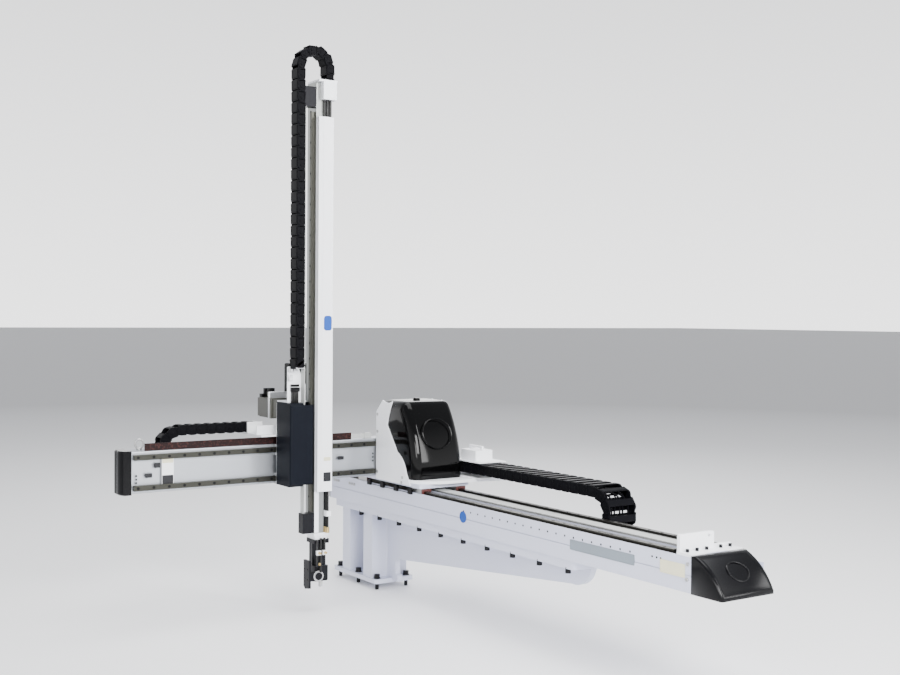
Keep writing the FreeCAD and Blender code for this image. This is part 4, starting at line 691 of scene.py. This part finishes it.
def lay_chain(prefix, centre, out, side, across, radius, sizes, counts, bodies):
    """The three stretches about the middle of the half turn; out points to its crown."""
    pitch = sizes[0] * MM
    centre = Vector(centre) * MM
    radius *= MM
    out, side, across = Vector(out), Vector(side), Vector(across)
    standing, turning, travelling = counts
    foot = [centre - side * radius - out * (pitch * (standing - i)) for i in range(standing + 1)]
    bend = [centre + (out * math.sin(math.pi * i / turning) - side * math.cos(math.pi * i / turning)) * radius
            for i in range(turning + 1)]
    head = [centre + side * radius - out * (pitch * i) for i in range(travelling + 1)]
    still = lay_run(f"{prefix}_standing_links", foot, across, sizes, (True, False))
    shade_chain(still, f"{prefix}_fixed_run", *bodies, foot[0], foot[0] + 2 * (foot[-1] - foot[0]))
    turning_run = lay_run(f"{prefix}_turning_links", bend, across, sizes, (False, False))
    shade_chain(turning_run, f"{prefix}_loop", *bodies, centre - out * FAR_OFF, centre + out * FAR_OFF)
    if travelling > 1:
        moving = lay_run(f"{prefix}_travelling_links", head, across, sizes, (False, True))
        shade_chain(moving, f"{prefix}_moving_run", *bodies, head[-1] + 2 * (head[0] - head[-1]), head[-1])
    return head


lay_chain("traverse_chain", (1314, 194.5, 441), (1, 0, 0), (0, 0, 1), (0, 1, 0), 75, (48, 125, 42, 5),
          (8, 5, 18), ("base", "saddle"))
lay_chain("cross_chain", (81, -926, 608), (0, -1, 0), (0, 0, 1), (1, 0, 0), 75, (40, 62, 40, 3),
          (4, 6, 8), ("saddle", "carriage"))
LIFT_LINK = (43, 60, 34, 3, 8)
lift_head = lay_chain("lift_chain", (368, -495.5, 2097), (0, 0, 1), (0, 1, 0), (1, 0, 0), 62.5, LIFT_LINK,
                      (27, 5, 1), ("carriage", "arm"))
print("lift chain enters the head box at", [round(v, 3) for v in lift_head[-1]])

# %% [markdown]
# At rest nearly all of the lift chain stands on the carriage's side, and one link reaches the arm. When the
# arm goes down, about fourteen links come out of the head box. They are laid where they are at full stroke
# and then drawn back by the blend's own law, so at rest they are folded away inside the box.

# %% The lift chain's travelling side
LIFT_STROKE = -1.1
LIFT_TURN, LIFT_ENTRY = 2.097, 2.054
FOLD_TOP, FOLD_FOOT = 2.128, 1.980


def share(height):
    """How much of the arm's motion a point of the folded run takes."""
    t = min(max((FOLD_TOP - height) / (FOLD_TOP - FOLD_FOOT), 0), 1)
    return t * t * (3 - 2 * t)


def folded(level):
    """The resting height of a point that is at a level at full stroke."""
    low, high = FOLD_FOOT - 0.1, FOLD_TOP
    for _ in range(30):
        middle = (low + high) / 2
        if middle + share(middle) * LIFT_STROKE < level:
            low = middle
        else:
            high = middle
    return (low + high) / 2


lift_link = lay_run("lift_chain_entering_link", lift_head, Vector((1, 0, 0)), LIFT_LINK, (False, False))
shade_chain(lift_link, "lift_chain_moving_run", "carriage", "arm",
            (0, 0, LIFT_TURN - FAR_OFF), (0, 0, LIFT_TURN + FAR_OFF))
links_out = 14
top_level = LIFT_ENTRY + share(LIFT_ENTRY) * LIFT_STROKE
drop = [Vector((0.368, -0.433, top_level - LIFT_LINK[0] * MM * i)) for i in range(links_out + 1)]
hidden = lay_run("lift_chain_folded_links", drop, Vector((1, 0, 0)), LIFT_LINK, (False, True))
for corner in hidden.data.vertices:
    corner.co.z = folded(corner.co.z)
shade_chain(hidden, "lift_chain_moving_run", "carriage", "arm", (0, 0, FOLD_TOP), (0, 0, FOLD_FOOT))

# %% [markdown]
# Screws, plates and seals repeat all over the machine. A screw starts as a short round bar whose top is inset
# and sunk for its socket; it stands on the origin, and copies are turned to face the side that they sit on.

# %% Screws and small plates
FACING = {"+Z": Matrix(), "+X": Matrix.Rotation(math.pi / 2, 4, "Y"),
          "-Y": Matrix.Rotation(math.pi / 2, 4, "X"), "-Z": Matrix.Rotation(math.pi, 4, "X")}


def screws(name, radius, height, sink, facing, spots, body, finish="zinc_steel"):
    """Socket screws at each spot; the sink is the depth of the socket."""
    head = round_bar(name, (0, 0, -sink - 0.6), "Z", radius, height + sink + 0.6, 12)
    panel(head, lambda p, n: n.z > 0.9, radius * 0.4, sink)
    places = [Matrix.Translation(Vector(spot) * MM) @ FACING[facing] for spot in spots]
    return settle(placed(head, name, places), finish, body, 0)


def plate_on(name, low, high, finish, body, corner=3, margin=2.5, depth=0.4):
    """A thin plate with round corners and a fine border. Its thinnest side is the way it faces."""
    made = block(name, low, high)
    spans = [b - a for a, b in zip(low, high)]
    way = spans.index(min(spans))
    round_edges(made, lambda p, d: abs(d[way]) > 0.9, min(corner, sorted(spans)[1] * 0.3), 3)
    panel(made, lambda p, n: abs(n[way]) > 0.9, margin, depth)
    return settle(made, finish, body, 0)


HOLE_PITCH = 60
RAIL_LEVEL = 438
RAIL_LINES = (-82, 82)
BEAM_FACE = -111
CROSS_RAIL_FACE = 233
CROSS_RAIL_LEVELS = (487, 601)
ARM_RAIL = (357, -499)
PANEL_FACE = -119
FLANGE_UNDER = 294
RAIL_HEAD = (0.25, 0.15)

rail_steps = [-20 + HOLE_PITCH * i for i in range(33)]
screws("traverse_rail_screws", 5.6, *RAIL_HEAD, "+Z",
       [(x, y, RAIL_LEVEL) for x in rail_steps for y in RAIL_LINES], "base", "cap_black")
screws("cross_rail_screws", 5.6, *RAIL_HEAD, "+X",
       [(CROSS_RAIL_FACE, -1140 + HOLE_PITCH * i, z) for i in range(17) for z in CROSS_RAIL_LEVELS],
       "saddle", "cap_black")
screws("arm_rail_screws", 4.4, *RAIL_HEAD, "-Y", [(*ARM_RAIL, 365 + HOLE_PITCH * i) for i in range(27)],
       "arm", "cap_black")
screws("beam_front_holes", 3.4, 0.5, 0.3, "-Y", [(863 + 45.8 * i, BEAM_FACE, 405) for i in range(21)]
       + [(x, BEAM_FACE, 407) for x in (1878, 1898, 1915)], "base", "cap_black")
screws("beam_front_screws", 6, 4, 2.6, "-Y", [(2030, BEAM_FACE, 409), (2027, BEAM_FACE, 363)]
       + [(x, BEAM_FACE, 406) for x in (-148, -129, -110, -11, 9, 30)], "base")
screws("side_panel_screws", 6, 3, 1.6, "-Y",
       [(x, PANEL_FACE, z) for x, z in ((238, 724), (238, 653), (238, 485), (437, 482), (430, 462))], "saddle")
screws("anchor_screws", 5.5, 9, 3, "+Z",
       [(x, y, RAIL_LEVEL) for x in (2004, -142) for y in (-88, -48, -8, 52, 92)], "base", "dark_steel")
screws("flange_screw_heads", 10, 16, 5, "-Z",
       [(64 + 155 * i, y, FLANGE_UNDER) for i in range(10) for y in (-95.5, 95.5)], "base", "dark_steel")
print("screws placed")

# %% [markdown]
# Each guide block wears a thin red scraper at both ends, which straddles the rail. Its outline is drawn as an
# arch and extruded once, and copies are turned along the three kinds of rail.

# %% Red seals and blank plates


def seals(name, half, low, high, opening, along, up, spots, body):
    """Scrapers that straddle a rail; low and high are heights from the rail's top."""
    profile = ((-half, low), (-half, high), (half, high), (half, low), (opening, low), (opening, 0.6),
               (-opening, 0.6), (-opening, low))
    made = slab(name, [(-2.1, y, z) for y, z in profile], (4.2, 0, 0))
    along, up = Vector(along), Vector(up)
    turn = Matrix((along, up.cross(along), up)).transposed().to_4x4()
    places = [Matrix.Translation(Vector(spot) * MM) @ turn for spot in spots]
    return settle(placed(made, name, places), "seal_red", body, 0.5)


seals("saddle_seals", 22.3, -13.4, 10.4, 10.7, (1, 0, 0), (0, 0, 1),
      [(x, y, RAIL_LEVEL) for x in (51.3, 124.7, 485.3, 558.7) for y in RAIL_LINES], "saddle")
seals("carriage_seals", 22.3, -12.6, 12.4, 10.7, (0, 1, 0), (1, 0, 0),
      [(CROSS_RAIL_FACE, y, z) for y in (-576.7, -509.3) for z in CROSS_RAIL_LEVELS], "carriage")
seals("arm_seals", 17.3, -10.6, 9.4, 8.2, (0, 0, 1), (0, -1, 0),
      [(*ARM_RAIL, z) for z in (491.3, 548.7, 712.3, 769.7)], "carriage")

disc = round_bar("beam_disc", (859, -112.2, 382), "Y", 22, 1.4, 32)
panel(disc, lambda p, n: n.y < -0.9, 3, 0.5)
settle(disc, "plate_blue", "base", 0)
plate_on("beam_long_plate", (1487, -112.3, 364), (1800, -111, 398), "plate_grey", "base")
plate_on("beam_end_plate", (1913, -112.3, 366), (2018, -111, 406), "plate_pale", "base")
plate_on("duct_pill", (399.5, -459, 1074), (401.2, -425, 1132), "plate_blue", "arm", corner=14)
plate_on("duct_pale_plate", (399.6, -457, 566), (400.9, -427, 580), "plate_pale", "arm")
plate_on("duct_dark_plate", (399.6, -458, 485), (400.9, -426, 521), "plate_dark", "arm")
for index, (low, high, z_low, z_high, finish) in enumerate((
        (-1076, -1053, 559, 578, "plate_dark"), (-1111, -1084, 524, 540, "plate_dark"),
        (-1045, -1002, 575, 593, "plate_pale"), (-1045, -1002, 494, 529, "plate_dark"),
        (-300, -272, 543, 557, "plate_dark"))):
    plate_on(f"cross_plate_{index}", (224.6, low, z_low), (226, high, z_high), finish, "saddle", 2, 1.5, 0.3)
plate_on("cross_plate_back", (224.6, -1047, 492), (225.6, -1000, 595), "white_plastic", "saddle", 2, 1.5, 0.2)
screws("cross_beam_dots", 3.8, 0.5, 0.3, "+X",
       [(225, y, z) for y, levels in ((-1145, (533, 520, 507)), (-134, (560, 545, 530))) for z in levels],
       "saddle", "cap_black")
print("seals and plates placed")

# %% [markdown]
# The drive hood is one glossy form: flat sides, a bulging front and soft front corners. Its outline is drawn
# on one side and extruded across, then the long front edges are rounded. It is closed below, where nothing
# shows it. The beam's end cap is made the same way, with a sunk panel in its curved face, and each gets a ring.

# %% Drive hood and end cap
hood_line = ([(229, -115, 478), (229, -115, 734), (277, -115, 786)]
             + bow((405, -115, 786), (436, -115, 770), 5, 4)
             + bow((436, -115, 770), (524, -115, 478), 24, 12)[1:])
hood = slab("drive_hood", hood_line, (0, 237, 0))
round_edges(hood, lambda p, d: p.x > 278 and abs(d.y) < 0.3 and p.z > 480, 36, 6)
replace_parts(settle(hood, "gloss_black", "saddle", 3), "drive_cover")


def oval_ring(name, spot, tilt, radius, across, tube, bulge):
    """A thin ring on a curved face: its ends are let down to follow the bulge."""
    clear_choice()
    bpy.ops.mesh.primitive_torus_add(major_radius=radius * MM, minor_radius=tube * MM, major_segments=56,
                                     minor_segments=8)
    made = bpy.context.object
    for corner in made.data.vertices:
        corner.co.z -= corner.co.x ** 2 / (2 * bulge * MM)
    made.scale = (1, across, 1)
    made.rotation_euler = (0, math.radians(tilt), 0)
    made.location = Vector(spot) * MM
    return named(name)


settle(oval_ring("hood_ring", (503, 3.5, 660), 73.2, 62, 1.1, 2.4, 500), "gloss_black", "saddle", 0)
knob = round_bar("hood_knob", (345, 3.5, 785), "Z", 15, 9, 24)
panel(knob, lambda p, n: n.z > 0.9, 3, -2)
settle(knob, "gloss_black", "saddle", 1.5)

cap_line = ([(2165, -111, 322), (2042, -111, 322), (2042, -111, 435)]
            + bow((2060, -111, 435), (2165, -111, 332), 13.6, 8))
end_cap = slab("end_cap", cap_line, (0, 222, 0))
round_edges(end_cap, lambda p, d: p.x > 2061 and abs(d.y) < 0.3 and p.z > 326, 9, 3)
panel(end_cap, lambda p, n: n.x > 0.3 and n.z > 0.3 and abs(n.y) < 0.2, 8, 0.9)
settle(oval_ring("end_cap_ring", (2122.2, 0, 392.8), 45.5, 33, 1.2, 2.2, 205), "cap_gloss", "base", 0)
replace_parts(settle(end_cap, "cap_gloss", "base", 1.5), "end_cap_front")
for piece in (hood, end_cap):
    print(piece.name, len(piece.data.polygons), "faces")

# %% [markdown]
# Motors carry black encoder caps, bright flanges and plugs with their cables, and the carriage's chain
# bracket holds strain-relief clamps. They are small blocks and bars, inset and rounded, and joined by kind.

# %% Motor trim and plugs


def trim(name, finish, body, boxes, margin=2, depth=0.8, width=1.2):
    """Small moulded blocks of one finish, each with its wide faces panelled."""
    parts = []
    for low, high in boxes:
        part = block(name, low, high)
        spans = [b - a for a, b in zip(low, high)]
        way = spans.index(min(spans))
        panel(part, lambda p, n: abs(n[way]) > 0.9, min(margin, sorted(spans)[1] * 0.2), depth)
        parts.append(part)
    clear_choice()
    for part in parts:
        part.select_set(True)
    bpy.context.view_layer.objects.active = parts[0]
    if len(parts) > 1:
        bpy.ops.object.join()
    parts[0].name = name
    return settle(parts[0], finish, body, width)


BRACKET_FACE = 336
VALVE_FACE = 379


def painted_shade_band(side, near, width, level):
    """A dark strip of painted shade beside the track, from its near edge outwards on one side of the beam."""
    edges = sorted((side * near, side * (near + width)))
    return (-120, edges[0], level), (1956, edges[1], level + 0.9)


# Painted shade: thin dark strips on the beam's top beside the rails and the belt, where the track's gaps lie in
# shade.
trim("track_painted_shade_strips", "painted_shade_dark", "base",
     [painted_shade_band(side, *strip) for side in (-1, 1)
      for strip in ((42.4, 29.12, 420), (92.4, 12.04, 420), (25.6, 16.38, 436))], 3, 0.2, 0)
trim("cross_beam_rear_plate", "cap_black", "saddle", [((126, 124.5, 467), (214, 129, 621))], 6, 0.8)
trim("duct_side", "white_paint", "arm",
     [((375, -484, 446), (399.6, -465, 1904)), ((375, -484, 283), (376.6, -465, 446))], 2.5, 0.3)
trim("plug_cables", "hose_black", "carriage",
     [((338, y, 790), (345, y + 6, 838)) for y in (-569, -561, -553, -545)], 1.5, -0.6, 1.8)
trim("head_cables", "hose_black", "arm",
     [((x, y, 1900), (x + 9, y + 9, 1976)) for x in (348, 362, 376) for y in (-456, -443, -431)], 2, -0.8, 2.5)
trim("lift_motor_encoder", "cap_black", "carriage", [((67.5, -577, 734), (91, -519, 814))])
trim("lift_motor_flange", "plate_aluminium", "carriage", [((174, -589, 721), (186, -507, 827))], 4, 0.6, 1.5)
trim("motor_plugs", "cap_black", "carriage",
     [((72, -562, 812), (88, -534, 836)), ((104, -560, 822), (126, -536, 838))])
trim("bracket_clamps", "plate_aluminium", "carriage",
     [((BRACKET_FACE, y, z), (349, y + 16, top))
      for y, z, top in ((-582, 913, 934), (-582, 878, 902), (-560, 913, 934))], 3, 2)
trim("bracket_plug", "cap_black", "carriage",
     [((BRACKET_FACE, -571, z), (front, -537, top)) for z, front, top in ((836, 352, 852), (856, 346, 864))])
trim("cross_chain_guard", "white_plastic", "carriage", [((112, -652, 659), (119, -586, 704))], 5, 1)
trim("belt_sensor_block", "cap_black", "base",
     [((1870, 46, 430), (1912, 64, 449)), ((1916, 48, 430), (1955, 62, 447))])
trim("belt_sensor_foot", "white_plastic", "base", [((1930, 62, 430), (1952, 70, 446))])
trim("wrist_valves", "white_plastic", "arm",
     [((VALVE_FACE, y, 196), (390, y + 18, 214)) for y in (-478, -452)])
screws("wrist_nozzles", 5, 9, 3, "+X", [(390, -469, 205), (390, -443, 205), (VALVE_FACE, -465, 160)],
       "arm", "brass_fitting")
trim("wrist_hoses", "hose_black", "arm",
     [((VALVE_FACE + 0.2, y, foot), (front, y + 7, top))
      for y, foot, front, top in ((-477, 150, 386, 256), (-462, 128, 387, 262), (-446, 190, 386, 262))],
     1.5, -0.6, 1.8)
trim("wrist_finger", "zinc_steel", "gripper", [((352, -452, 66), (364, -440, 102))], 2, 0.5)
WRIST_HUB = (377, -465, 112)
screws("wrist_hub_ring", 22, 1.6, 0.8, "+X", [WRIST_HUB], "gripper")
screws("wrist_hub", 15, 6, 2, "+X", [WRIST_HUB], "gripper", "dark_steel")
print("trim placed")
